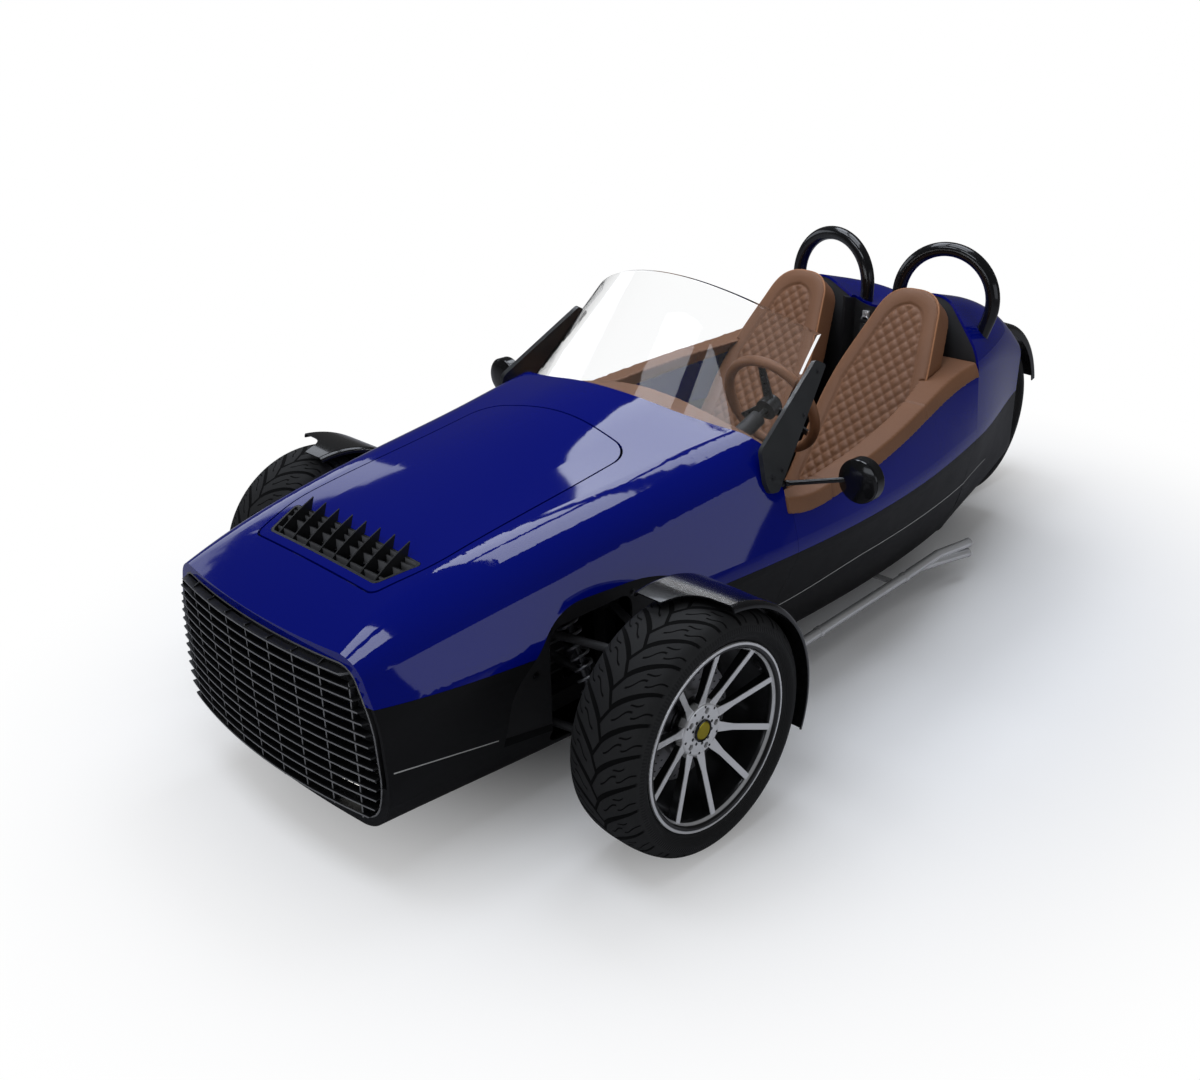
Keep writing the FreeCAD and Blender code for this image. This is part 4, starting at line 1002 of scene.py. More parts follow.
class Form:
    """A mesh put together from simple turned and drawn parts."""

    WIRE_SIDES = 12
    SPRING_SIDES = 8
    SPRING_STEPS = 22

    def __init__(self) -> None:
        """Starts empty."""
        self.shape = bmesh.new()

    def take(self, part: bmesh.types.BMesh, place: Matrix) -> "Form":
        """Adds a finished part.

        Args:
            part: its mesh, freed afterwards.
            place: its place.

        Returns:
            The same form.
        """
        bmesh.ops.transform(part, matrix=place, verts=part.verts)
        mesh = bpy.data.meshes.new("part")
        part.to_mesh(mesh)
        part.free()
        self.shape.from_mesh(mesh)
        bpy.data.meshes.remove(mesh)
        return self

    def rod(
        self,
        start: Point,
        end: Point,
        radius: float,
        tip: float | None = None,
        sides: int = 24,
    ) -> "Form":
        """Adds a cylinder, or a cone when the tip differs, between two points.

        Args:
            start: middle of its foot.
            end: middle of its tip.
            radius: radius of its foot.
            tip: radius of its tip, the foot's when it is left out.
            sides: faces round it.

        Returns:
            The same form.
        """
        a, b = Vector(start), Vector(end)
        bmesh.ops.create_cone(
            self.shape,
            cap_ends=True,
            segments=sides,
            radius1=radius,
            radius2=radius if tip is None else tip,
            depth=(b - a).length,
            matrix=Matrix.Translation((a + b) / 2) @ facing(b - a),
        )
        return self

    def block(self, low: Point, high: Point, soft: float = 0.0) -> "Form":
        """Adds a box.

        Args:
            low: its lowest corner.
            high: its highest corner.
            soft: how much its edges are rounded.

        Returns:
            The same form.
        """
        a, b = Vector(low), Vector(high)
        part = bmesh.new()
        bmesh.ops.create_cube(part, size=1.0, matrix=Matrix.Diagonal((*(b - a), 1.0)))
        if soft:
            bmesh.ops.bevel(
                part,
                geom=part.edges[:],
                offset=soft,
                affect="EDGES",
                segments=2,
                profile=0.5,
                material=-1,
            )
        return self.take(part, Matrix.Translation((a + b) / 2))

    def turned(
        self,
        profile: Sequence[tuple[float, float]],
        centre: Point,
        way: Point,
        steps: int = 40,
    ) -> "Form":
        """Adds a closed profile of (along, radius) turned round an axis.

        Args:
            profile: corners, from the axis and back to it, or a closed ring clear of it.
            centre: where along is 0.
            way: the axis.
            steps: faces round the axis.

        Returns:
            The same form.
        """
        part = bmesh.new()
        corners = [part.verts.new((radius, 0.0, along)) for along, radius in profile]
        edges = [part.edges.new(pair) for pair in zip(corners, corners[1:])]
        if profile[0][1] > 0.0:
            edges.append(part.edges.new((corners[-1], corners[0])))
        bmesh.ops.spin(
            part,
            geom=corners + edges,
            cent=(0.0, 0.0, 0.0),
            axis=(0.0, 0.0, 1.0),
            angle=math.tau,
            steps=steps,
            use_merge=True,
        )
        bmesh.ops.remove_doubles(part, verts=part.verts, dist=1e-6)
        bmesh.ops.recalc_face_normals(part, faces=part.faces)
        return self.take(part, Matrix.Translation(centre) @ facing(Vector(way)))

    def hoop(self, centre: Point, way: Point, radius: float, wire: float, steps: int = 48) -> "Form":
        """Adds a round ring of round wire.

        Args:
            centre: its middle.
            way: its axis.
            radius: from its middle to the wire's.
            wire: radius of the wire.
            steps: faces round the axis.

        Returns:
            The same form.
        """
        angles = [math.tau * n / self.WIRE_SIDES for n in range(self.WIRE_SIDES)]
        profile = [(wire * math.sin(a), radius + wire * math.cos(a)) for a in angles]
        return self.turned(profile, centre, way, steps)

    def coil(self, start: Point, end: Point, radius: float, wire: float, turns: float) -> "Form":
        """Adds a helical spring.

        Args:
            start: middle of its foot.
            end: middle of its head.
            radius: from its axis to the wire's middle.
            wire: radius of the wire.
            turns: how many times it goes round.

        Returns:
            The same form.
        """
        a, b = Vector(start), Vector(end)
        steps = int(turns * self.SPRING_STEPS)
        part = bmesh.new()
        place = Matrix.Translation((radius, 0.0, 0.0)) @ Matrix.Rotation(math.pi / 2, 4, "X")
        bmesh.ops.create_circle(part, segments=self.SPRING_SIDES, radius=wire, matrix=place)
        bmesh.ops.spin(
            part,
            geom=part.verts[:] + part.edges[:],
            cent=(0.0, 0.0, 0.0),
            axis=(0.0, 0.0, 1.0),
            dvec=(0.0, 0.0, (b - a).length / steps),
            angle=math.tau * turns,
            steps=steps,
        )
        bmesh.ops.holes_fill(part, edges=part.edges, sides=0)
        bmesh.ops.recalc_face_normals(part, faces=part.faces)
        return self.take(part, Matrix.Translation(a) @ facing(b - a))

    def tube(self, points: Sequence[Point], radius: float, sides: int = 10) -> "Form":
        """Adds a round tube with closed ends, bridged ring by ring.

        Args:
            points: places along its middle.
            radius: its radius.
            sides: faces round it.

        Returns:
            The same form.
        """
        path = [Vector(point) for point in points]
        part = bmesh.new()
        loops: list[list[bmesh.types.BMEdge]] = []
        for n, spot in enumerate(path):
            way = path[min(n + 1, len(path) - 1)] - path[max(n - 1, 0)]
            ring = bmesh.ops.create_circle(
                part, segments=sides, radius=radius, matrix=Matrix.Translation(spot) @ facing(way))
            edges = {edge for vert in ring["verts"] for edge in vert.link_edges}
            loops.append(sorted(edges, key=lambda edge: edge.index))
        for before, after in zip(loops, loops[1:]):
            bmesh.ops.bridge_loops(part, edges=before + after)
        bmesh.ops.holes_fill(part, edges=part.edges, sides=0)
        bmesh.ops.recalc_face_normals(part, faces=part.faces)
        return self.take(part, Matrix.Identity(4))

    def bolt(self, spot: Vector, way: Vector, radius: float = 0.005, height: float = 0.003) -> "Form":
        """Adds a six-sided bolt head on a washer, seated just under the surface.

        Args:
            spot: where it meets the surface.
            way: the surface's normal.
            radius: half the head's width over corners.
            height: how far the head stands up.

        Returns:
            The same form.
        """
        way = way.normalized()
        self.rod(spot - way * 0.001, spot + way * height * 0.25, radius * 1.5, radius * 1.45, 20)
        return self.rod(spot, spot + way * height, radius, radius * 0.86, 6)

    def done(self, name: str, material: bpy.types.Material, body: str = "root") -> bpy.types.Object:
        """Turns the form into a piece that rides on a body.

        Args:
            name: name of the piece.
            material: its finish.
            body: the body that it moves with.

        Returns:
            The new object.
        """
        made = finished(self.shape, name, material, True)
        made.data.set_sharp_from_angle(angle=SMOOTH_ANGLE)
        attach(made, body)
        LOG.info("made %s: %d faces", name, len(made.data.polygons))
        return made


def ease(skin: bmesh.types.BMesh, factor: float) -> None:
    """Moves each point of a mesh part of the way to the middle of its neighbours."""
    bmesh.ops.smooth_vert(
        skin, verts=skin.verts, factor=factor, use_axis_x=True, use_axis_y=True, use_axis_z=True)


def even_skin(node: bpy.types.Object, name: str, voxel: float, rounds: int) -> bmesh.types.BMesh:
    """Even closed mesh over a CAD node, with its edges softened.

    Args:
        node: the CAD node, which is left as it is.
        name: name of the passing object.
        voxel: size of the new faces.
        rounds: how many times its points are eased.

    Returns:
        The new mesh, free to shape.
    """
    merged = bmesh.new()
    merged.from_mesh(node.data)
    bmesh.ops.remove_doubles(merged, verts=merged.verts, dist=1e-5)
    mesh = bpy.data.meshes.new(name)
    merged.to_mesh(mesh)
    merged.free()
    passing = bpy.data.objects.new(name, mesh)
    bpy.context.scene.collection.objects.link(passing)
    remesh = passing.modifiers.new("even", "REMESH")
    remesh.mode = "VOXEL"
    remesh.voxel_size = voxel
    seen = passing.evaluated_get(bpy.context.evaluated_depsgraph_get())
    skin = bmesh.new()
    skin.from_mesh(seen.data)
    bpy.data.objects.remove(passing)
    for _ in range(rounds):
        ease(skin, 0.5)
    skin.normal_update()
    return skin


def padded_cover(
    skin: bmesh.types.BMesh,
    name: str,
    material: bpy.types.Material,
    moved: Callable[[bmesh.types.BMVert], Vector],
    settle: float = 0.0,
) -> None:
    """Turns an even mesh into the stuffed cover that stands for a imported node.

    Args:
        skin: the mesh, freed afterwards.
        name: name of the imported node.
        material: its finish.
        moved: gives the new place of a point.
        settle: how far its points are eased once they have moved.
    """
    moves = [(vert, moved(vert)) for vert in skin.verts]
    for vert, spot in moves:
        vert.co = spot
    if settle:
        ease(skin, settle)
    cover = finished(skin, f"{name}_cover", material, True)
    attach(cover, "root")
    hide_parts(name)
    LOG.info("made %s cover: %d faces", name, len(cover.data.polygons))


# ---------------------------------------------------------------------- the car


@dataclass
class Palette:
    """Every finish of the car, made once."""

    def __post_init__(self) -> None:
        """Builds the finishes."""
        self.blue = Paint("blue_paint", (0.0003, 0.0045, 0.180)).build()
        self.satin = StripedSatin("dark_satin").build()
        self.black = GlossBlack("gloss_black").build()
        self.dark = GlossBlack("dark_screen_frame", (0.016, 0.017, 0.018), 0.36).build()
        self.moulded = Moulded("moulded_black").build()
        self.bars = FacedBars("faced_bars").build()
        self.tan = Leather("tan_leather").build()
        self.piping = Leather("pale_piping", (0.360, 0.165, 0.075), (0.270, 0.115, 0.050)).build()
        self.web = Webbing("belt_web").build()
        self.screen = ClearScreen("clear_screen").build()
        self.chrome = Metal("chrome", (0.88, 0.88, 0.89), 0.10, 60.0, 0.01, 0.62).build()
        self.cast = Metal("cast_alloy", (0.42, 0.42, 0.43), 0.42, 260.0, 0.3).build()
        self.steel = Metal("dark_steel", (0.10, 0.10, 0.105), 0.36, 180.0, 0.1).build()
        self.gold = Metal("gold_cap", (0.62, 0.50, 0.045), 0.34, 120.0, 0.05).build()
        self.mirror = Metal("mirror_face", (0.93, 0.94, 0.95), 0.02, 20.0, 0.0).build()
        self.core = FinStack("radiator_core").build()
        self.block = FinStack("engine_fins", (0.16, 0.16, 0.165), 0.5, 0.030).build()
        self.front_disc = DrilledDisc("front_disc", FRONT_AXLE).build()
        self.rear_disc = DrilledDisc("rear_disc", REAR_AXLE).build()
        self.clear_lamp = Glow("clear_lamp", (0.80, 0.81, 0.83)).build()
        self.bulb = Glow("bright_lamp", (1.0, 0.97, 0.90), 1.6, 540.0).build()
        self.red_lamp = Glow("red_lamp", (0.42, 0.008, 0.006)).build()
        self.grip = WheelGrip("wheel_grip").build()
        hubs = {side: (side.value * TRACK_HALF, *FRONT_AXLE) for side in Side}
        rear_hub = (0.0, *REAR_AXLE)
        self.tyres = {
            side: Rubber(f"{side.word}_rubber", hub, 0.318, 0.1125).build() for side, hub in hubs.items()}
        self.rear_tyre = Rubber("rear_rubber", rear_hub, 0.328, 0.1425).build()
        self.rims = {
            side: MachinedRim(f"{side.word}_alloy", hub, 0.035, 0.086, 0.0975, side.value).build()
            for side, hub in hubs.items()}
        self.rear_rim = MachinedRim("rear_alloy", rear_hub, 0.050, 0.114, 0.1255).build()


@dataclass
class Chassis:
    """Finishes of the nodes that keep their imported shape."""

    palette: Palette

    def dress(self, nodes: dict[str, bpy.types.Object]) -> None:
        """Gives each node its finish.

        Args:
            nodes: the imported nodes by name.
        """
        p = self.palette
        plan: tuple[tuple[bpy.types.Material, tuple[str, ...]], ...] = (
            (p.blue, ("front_body", "hood", "side_panels", "tail_body")),
            (p.satin, ("lower_front_body", "cockpit_tub", "lower_tail")),
            (p.black, ("mirrors", "roll_hoops", "left_fender", "right_fender", "rear_fender")),
            (p.dark, ("screen_blades",)),
            (p.bars, ("grille", "hood_vent")),
            (p.moulded, ("tail_panel", "wheel_wells", "firewall", "floor_pan", "rear_bulkhead",
                         "column_jacket", "wishbones", "front_frame", "rear_frame", "swingarm")),
            (p.core, ("radiator",)),
            (p.block, ("engine",)),
            (p.tan, ("cockpit_trim", "dashboard", "left_seat", "right_seat")),
            (p.grip, ("steering_wheel",)),
            (p.web, ("seat_belts",)),
            (p.screen, ("windscreen",)),
            (p.chrome, ("exhausts",)),
            (p.cast, ("left_knuckle", "right_knuckle", "steering_rack", "tie_rods", "half_shafts")),
            (p.steel, ("left_caliper", "right_caliper", "coilovers", "rear_shock")),
            (p.front_disc, ("left_brake_disc", "right_brake_disc")),
            (p.rear_disc, ("rear_brake_disc",)),
            (p.clear_lamp, ("front_lamps",)),
            (p.red_lamp, ("tail_lights",)),
            (p.tyres[Side.LEFT], ("left_tyre",)),
            (p.tyres[Side.RIGHT], ("right_tyre",)),
            (p.rear_tyre, ("rear_tyre",)),
            (p.rims[Side.LEFT], ("left_rim",)),
            (p.rims[Side.RIGHT], ("right_rim",)),
            (p.rear_rim, ("rear_rim",)),
        )
        for material, names in plan:
            for name in names:
                mesh = nodes[name].data
                mesh.materials.clear()
                mesh.materials.append(material)
        LOG.info("dressed %d nodes", sum(len(names) for _, names in plan))


@dataclass
class WheelParts:
    """Cap, lug bolts, pins and valve of one wheel."""

    palette: Palette
    word: str
    centre: Spot
    face: float
    lip: float
    side: int = 1
    lugs: int = 5
    lug_circle: float = 0.050
    lug_turn: float = 18.0
    cap_r: float = 0.0235
    # circle, size and turn in degrees of both rows of pins
    pins: tuple[tuple[float, float, float], ...] = ((0.0355, 0.0042, 0.0), (0.0600, 0.0034, 9.0))
    valve_turn: float = 54.0
    valve_r: float = 0.2140

    def build(self) -> None:
        """Makes the wheel's small parts."""
        body = f"{self.word}_wheel"
        out = Vector((self.side, 0.0, 0.0))
        hub = Vector((self.centre[0] + self.side * self.face, *self.centre[1:]))
        edge = self.cap_r
        cap = Form().turned(
            [(-0.003, 0.0), (-0.003, edge), (0.003, edge), (0.0052, edge - 0.003), (0.0056, 0.0)], hub, out)
        cap.done(f"{self.word}_hub_cap", self.palette.gold, body)
        dark = Form().turned(
            [(-0.003, edge), (0.0045, edge), (0.0062, edge + 0.002), (0.0045, edge + 0.0050),
             (-0.003, edge + 0.0055)],
            hub, out)
        bolts = Form()
        for n in range(self.lugs):
            lug = hub + self.around(360.0 * n / self.lugs + self.lug_turn, self.lug_circle)
            dark.rod(lug - out * 0.0179, lug - out * 0.0160, 0.0079, sides=20)
            bolts.rod(lug - out * 0.0175, lug - out * 0.0060, 0.0052, 0.0046, 6)
        for n in range(2 * self.lugs):
            for circle, size, turn in self.pins:
                pin = hub + self.around(180.0 * n / self.lugs + turn, circle)
                dark.rod(pin - out * 0.002, pin + out * 0.0004, size, sides=12)
        dark.done(f"{self.word}_hub_ring", self.palette.black, body)
        bolts.done(f"{self.word}_lug_bolts", self.palette.chrome, body)
        foot = Vector(self.centre) + self.around(self.valve_turn, self.valve_r) + out * (self.lip - 0.040)
        tip = foot + out * 0.020 - self.around(self.valve_turn, 0.012)
        stem = Form().rod(foot, tip, 0.0045, 0.0038, 14)
        stem.rod(tip, tip + (tip - foot).normalized() * 0.010, 0.0036, sides=12)
        stem.done(f"{self.word}_valve", self.palette.moulded, body)

    @staticmethod
    def around(degrees: float, radius: float) -> Vector:
        """Offset at an angle from the top of the wheel."""
        turn = math.radians(degrees)
        return Vector((0.0, radius * math.sin(turn), radius * math.cos(turn)))


@dataclass
class SpringLegs:
    """Front dampers with helical springs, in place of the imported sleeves."""

    palette: Palette
    low: Point = (0.520, -1.147, 0.226)
    high: Point = (0.366, -1.147, 0.548)
    turns: float = 7.5
    sleeve: float = 0.170
    plates: tuple[float, float] = (0.062, 0.290)
    spring: tuple[float, float] = (0.074, 0.286)

    def build(self) -> None:
        """Makes a leg and a spring for each side."""
        along = Vector((0.0, 0.014, 0.0))
        for side in Side:
            low, high = side.put(self.low), side.put(self.high)
            way = (high - low).normalized()
            leg = Form()
            leg.rod(low, low + way * self.sleeve, 0.0165).rod(low + way * self.sleeve, high, 0.0085)
            for eye in (low, high):
                leg.rod(eye - along, eye + along, 0.015)
                leg.rod(eye - along * 1.25, eye + along * 1.25, 0.0075, sides=6)
            for start in self.plates:
                leg.rod(low + way * start, low + way * (start + 0.008), 0.0288)
            leg.rod(low + way * 0.070, low + way * 0.100, 0.0195, 0.0185)
            made = leg.done(f"{side.word}_spring_leg", self.palette.steel)
            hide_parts("coilovers")
            foot, head = (low + way * place for place in self.spring)
            spring = Form().coil(foot, head, 0.0240, 0.0042, self.turns)
            spring.done(f"{side.word}_spring", self.palette.cast)


def rounded_path(corners: Sequence[Spot], steps: int) -> list[tuple[float, float]]:
    """Open path through corners, each eased over its own length.

    Args:
        corners: (across, up, easing) of each corner; the ends have no easing.
        steps: points on each eased corner.

    Returns:
        Points (across, up) along the path.
    """
    points = [corners[0][:2]]
    for before, here, after in zip(corners, corners[1:], corners[2:]):
        spot = Vector(here[:2])
        start = spot + (Vector(before[:2]) - spot).normalized() * here[2]
        end = spot + (Vector(after[:2]) - spot).normalized() * here[2]
        for n in range(steps + 1):
            t = n / steps
            points.append(tuple(start * (1 - t) ** 2 + spot * (2 * t * (1 - t)) + end * t * t))
    points.append(corners[-1][:2])
    return points


def eased(value: float, low: float, high: float) -> float:
    """Smooth step of a number from 0 at low to 1 at high."""
    t = min(1.0, max(0.0, (value - low) / (high - low)))
    return t * t * (3.0 - 2.0 * t)


@dataclass
class Seat:
    """One bucket seat: a quilted leather back and cushion with a piped edge."""

    side: Side
    palette: Palette
    centre_x: float = 0.228
    half: float = 0.186
    base: tuple[float, float] = (0.268, 0.300)
    top: tuple[float, float] = (0.728, 0.934)
    waist: float = 0.54
    top_half: float = 0.096
    thick: float = 0.095
    border: float = 0.056
    cell: tuple[float, float] = (0.043, 0.050)
    puff: float = 0.0088
    foot_v: float = 0.13
    cushion_z: float = 0.255
    cushion_front: float = 0.170
    corner: float = 0.070

    def __post_init__(self) -> None:
        """Works out the back's own directions."""
        rise = Vector((0.0, self.top[0] - self.base[0], self.top[1] - self.base[1]))
        self.length = rise.length
        self.up = rise.normalized()
        self.out = Vector((0.0, -self.up.z, self.up.y))
        self.foot = self.side.put((self.centre_x, *self.base))

    def build(self, node: bpy.types.Object) -> None:
        """Makes the padded cover and its piping.

        Args:
            node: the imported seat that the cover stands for.
        """
        name = f"{self.side.word}_seat"
        skin = even_skin(node, f"{name}_form", 0.0043, 7)
        padded_cover(skin, name, self.palette.tan, self.moved, 0.25)
        corners = [
            (-self.half + 0.004, self.foot_v, 0.0),
            (-self.half + 0.001, self.waist * self.length, 0.120),
            (-self.top_half + 0.001, self.length - 0.001, 0.084),
            (self.top_half - 0.001, self.length - 0.001, 0.084),
            (self.half - 0.001, self.waist * self.length, 0.120),
            (self.half - 0.004, self.foot_v, 0.0),
        ]
        across = Vector((1.0, 0.0, 0.0))
        path = [
            self.foot + across * x * 0.985 + self.up * (v - 0.002) + self.out * (self.thick - 0.0055)
            for x, v in rounded_path(corners, 12)
        ]
        piping = Form().tube(path, 0.0042)
        piping.done(f"{name}_piping", self.palette.piping)

    def moved(self, vert: bmesh.types.BMVert) -> Vector:
        """Stuffs and quilts the cover.

        Args:
            vert: one point of it.

        Returns:
            The point's new place.
        """
        from_foot = vert.co - self.foot
        x = from_foot.x
        v = from_foot.dot(self.up)
        w = from_foot.dot(self.out)
        if vert.normal.dot(self.out) > 0.75 and w > self.thick - 0.020 and v > 0.02:
            taper = min(1.0, max(0.0, (v / self.length - self.waist) / (1.0 - self.waist)))
            edge = self.half - taper * (self.half - self.top_half) - abs(x)
            over = self.length - v
            gap = max(0.0, self.corner - abs(edge - over)) / self.corner
            inside = min(edge, over) - 0.0175 * gap * gap
            return vert.co + self.out * self.relief(inside, x, v)
        if vert.normal.z > 0.80 and vert.co.z > self.cushion_z and w > self.thick:
            inside = min(self.half - abs(x), vert.co.y + self.cushion_front)
            return vert.co + Vector((0.0, 0.0, self.relief(inside, x, vert.co.y)))
        return vert.co

    def relief(self, inside: float, x: float, v: float) -> float:
        """Height of the stuffing at a point.

        Args:
            inside: distance in from the cover's edge.
            x: across the seat.
            v: up the seat.

        Returns:
            The height above the plain cover.
        """
        roll = 0.0050 * math.sin(math.pi * min(1.0, max(0.0, inside / self.border)))
        groove = 1.0 - eased(abs(inside - self.border), 0.0015, 0.0050)
        p = x / self.cell[0] + v / self.cell[1]
        q = x / self.cell[0] - v / self.cell[1]
        pillow = (abs(math.sin(math.pi * p)) * abs(math.sin(math.pi * q))) ** 0.42
        quilt = (self.puff * pillow - 0.0050) * eased(inside, self.border + 0.002, self.border + 0.006)
        return roll + quilt - 0.0040 * groove


@dataclass
class PaddedRim:
    """Leather over the cockpit's rim and the dash."""

    palette: Palette
    seams: tuple[float, ...] = (-0.292, 0.300)
    dash_seam: float = 0.690
    dash_joint: float = 0.400

    def build(self, nodes: dict[str, bpy.types.Object]) -> None:
        """Makes both covers.

        Args:
            nodes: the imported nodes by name.
        """
        for name, voxel, rounds in (("cockpit_trim", 0.0034, 7), ("dashboard", 0.0046, 5)):
            skin = even_skin(nodes[name], f"{name}_form", voxel * (1.0), rounds)
            padded_cover(
                skin, name, self.palette.tan,
                lambda vert: vert.co - vert.normal * self.depth(name, vert.co))

    def depth(self, name: str, spot: Vector) -> float:
        """How deep the seams pull the leather.

        Args:
            name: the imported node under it.
            spot: the point.

        Returns:
            The depth, below zero where the padding stands proud.
        """
        if name == "dashboard":
            joint = abs(abs(spot.x) - self.dash_joint) + (0.0 if spot.z > self.dash_seam else 1.0)
            gap = min(abs(spot.z - self.dash_seam), joint)
        else:
            gap = min(abs(spot.y - seam) for seam in self.seams)
        fold = 0.0036 * (1.0 - eased(gap, 0.0010, 0.0055))
        roll = 0.0006 * (1.0 - eased(abs(gap - 0.009), 0.0, 0.006))
        return fold - 0.0014 - roll


@dataclass
class Controls:
    """Steering grip and horn pad, dials and pedals."""

    palette: Palette
    centre: Spot = STEERING_HUB
    tilt: float = math.radians(22.0)
    ring_r: float = GRIP_R
    stitches: int = 96
    spokes: tuple[float, ...] = (90.0, 210.0, 330.0)
    # distance out and size of a spoke's holes
    holes: tuple[tuple[float, float], ...] = (
        (0.058, 0.0065), (0.082, 0.0058), (0.104, 0.0050), (0.124, 0.0042))
    # X, Y, Z and radius of each dial
    dial_plan: tuple[tuple[float, float, float, float], ...] = (
        (0.222, -0.436, 0.762, 0.052), (0.122, -0.432, 0.748, 0.031), (0.322, -0.432, 0.748, 0.031))
    # X and half width of each pedal
    pedal_plan: tuple[tuple[float, float], ...] = ((0.130, 0.030), (0.215, 0.036), (0.300, 0.022))
    first_mark: float = 225.0
    mark_step: float = 27.0
    marks: int = 11

    def build(self) -> None:
        """Makes the driver's controls."""
        centre = Vector(self.centre)
        down = Vector((0.0, -math.cos(self.tilt), -math.sin(self.tilt)))
        rise = Vector((0.0, -math.sin(self.tilt), math.cos(self.tilt)))
        across = Vector((1.0, 0.0, 0.0))
        grip = Form().hoop(centre, down, self.ring_r, 0.0158, 72)
        grip.done("steering_grip", self.palette.tan, "steering_wheel")
        stitches = Form()
        for n in range(self.stitches):
            turn = math.tau * n / self.stitches
            way = self.clock(turn, across, rise)
            side = self.clock(turn, rise, -across)
            spot = centre + way * (self.ring_r - 0.0153) - down * 0.003
            stitches.rod(spot - side * 0.0028, spot + side * 0.0028 + down * 0.004, 0.0009, sides=6)
        stitches.done("steering_stitches", self.palette.piping, "steering_wheel")
        pad = Form().turned(
            [(-0.004, 0.0), (-0.004, 0.0335), (0.004, 0.0335), (0.010, 0.028), (0.012, 0.0)],
            centre - down * 0.006, -down)
        pad.hoop(centre - down * 0.0105, down, 0.0315, 0.0016, 40)
        pad.done("horn_pad", self.palette.black, "steering_wheel")
        # the spoke holes are black discs set through the spokes: painted shade where the holes are
        holes = Form()
        for degrees in self.spokes:
            way = self.clock(math.radians(degrees), across, rise)
            for radius, size in self.holes:
                spot = centre + way * radius
                holes.rod(spot - down * 0.0006, spot + down * 0.0076, size, sides=16)
        holes.done("spoke_holes", self.palette.black, "steering_wheel")
        self.dials()
        self.pedals()

    @staticmethod
    def clock(turn: float, across: Vector, rise: Vector) -> Vector:
        """Direction at an angle from across towards rise."""
        return across * math.cos(turn) + rise * math.sin(turn)

    def dials(self) -> None:
        """Makes one large and two small dials on the dash."""
        eye = Vector((0.0, 0.76, 0.65)).normalized()
        rise = Vector((0.0, -0.65, 0.76)).normalized()
        across = Vector((1.0, 0.0, 0.0))
        shells, faces, marks = Form(), Form(), Form()
        for *place, radius in self.dial_plan:
            spot = Vector(place)
            shells.turned(
                [(-0.060, 0.0), (-0.060, radius), (0.006, radius), (0.009, radius - 0.003),
                 (0.006, radius - 0.006), (0.0, radius - 0.006), (0.0, 0.0)],
                spot, eye)
            faces.rod(spot, spot + eye * 0.0010, radius - 0.0062, sides=40)
            for n in range(self.marks):
                way = self.clock(math.radians(self.first_mark - self.mark_step * n), across, rise)
                start = spot + eye * 0.0013 + way * (radius * 0.66)
                marks.rod(start, start + way * radius * 0.14, 0.0007, sides=6)
            tip = Vector((-0.55, 0.0, 0.0)) + rise * 0.60
            marks.rod(spot + eye * 0.002, spot + eye * 0.002 + tip * radius * 0.72, 0.0011, 0.0004, 8)
        shells.done("dial_shells", self.palette.chrome)
        faces.done("dial_faces", self.palette.black)
        marks.done("dial_marks", self.palette.piping)

    def pedals(self) -> None:
        """Makes three pads on arms that hang from the wall."""
        pads, arms = Form(), Form()
        for x, width in self.pedal_plan:
            pads.block((x - width, -0.566, 0.235), (x + width, -0.556, 0.305), 0.003)
            arms.tube(
                [(x, -0.563, 0.275), (x, -0.572, 0.330), (x, -0.600, 0.400), (x, -0.640, 0.430)], 0.0065)
        pads.done("pedal_pads", self.palette.moulded)
        arms.done("pedal_arms", self.palette.steel)


@dataclass
class BeltFittings:
    """Rings, plates and buckles of the belts."""

    palette: Palette
    belt_x: float = 0.036
    top: tuple[float, float] = (0.7600, 0.8180)

    def build(self) -> None:
        """Makes the fittings of both belts."""
        y, z = self.top
        bright, dark = Form(), Form()
        for side in Side:
            x = side.value * self.belt_x
            bright.hoop((x, y, z), (0.0, 1.0, 0.25), 0.0150, 0.0028, 32)
            bright.block((x - 0.013, y - 0.003, z + 0.009), (x + 0.013, y + 0.010, z + 0.034), 0.002)
            bright.rod((x, y - 0.006, z + 0.022), (x, y, z + 0.022), 0.0065, sides=6)
            bright.block((x - 0.026, y - 0.0035, z - 0.112), (x + 0.026, y + 0.0050, z - 0.088), 0.002)
            dark.block((x - 0.024, y - 0.0050, z - 0.012), (x + 0.024, y + 0.0080, z + 0.002), 0.003)
            dark.block((x - 0.019, y - 0.0048, z - 0.106), (x + 0.019, y - 0.0020, z - 0.094), 0.001)
        bright.done("belt_rings", self.palette.chrome)
        dark.done("belt_pads", self.palette.moulded)


@dataclass
class Lamps:
    """Bulbs and reflectors in the nose, and rings round the tail lamps."""

    palette: Palette
    bulbs: tuple[float, ...] = (0.242, 0.270, 0.298)
    nose: tuple[float, float] = (-1.7350, 0.2395)
    tail: Spot = (0.236, 1.3290, 0.585)

    def build(self) -> None:
        """Makes the lamps' small parts."""
        bowls, bulbs = Form(), Form()
        for side in Side:
            for x in self.bulbs:
                spot = side.put((x, *self.nose))
                bowls.hoop(spot, (0.0, -1.0, 0.0), 0.0122, 0.0016, 24)
                bulbs.rod(spot, spot - Vector((0.0, 0.0014, 0.0)), 0.0112, 0.0104, 24)
        bowls.done("nose_lamp_rings", self.palette.chrome)
        bulbs.done("nose_lamp_bulbs", self.palette.bulb)
        rings, lenses = Form(), Form()
        for side in Side:
            spot = side.put(self.tail)
            rings.turned(
                [(-0.016, 0.0372), (-0.016, 0.0405), (-0.001, 0.0405), (0.0, 0.0380), (-0.001, 0.0350)],
                spot, ALONG_Y)
            lenses.turned([(-0.002, 0.0), (-0.002, 0.016), (-0.0002, 0.0150), (0.0, 0.0)], spot, ALONG_Y)
        rings.done("tail_lamp_rings", self.palette.black)
        lenses.done("tail_lamp_eyes", self.palette.clear_lamp)


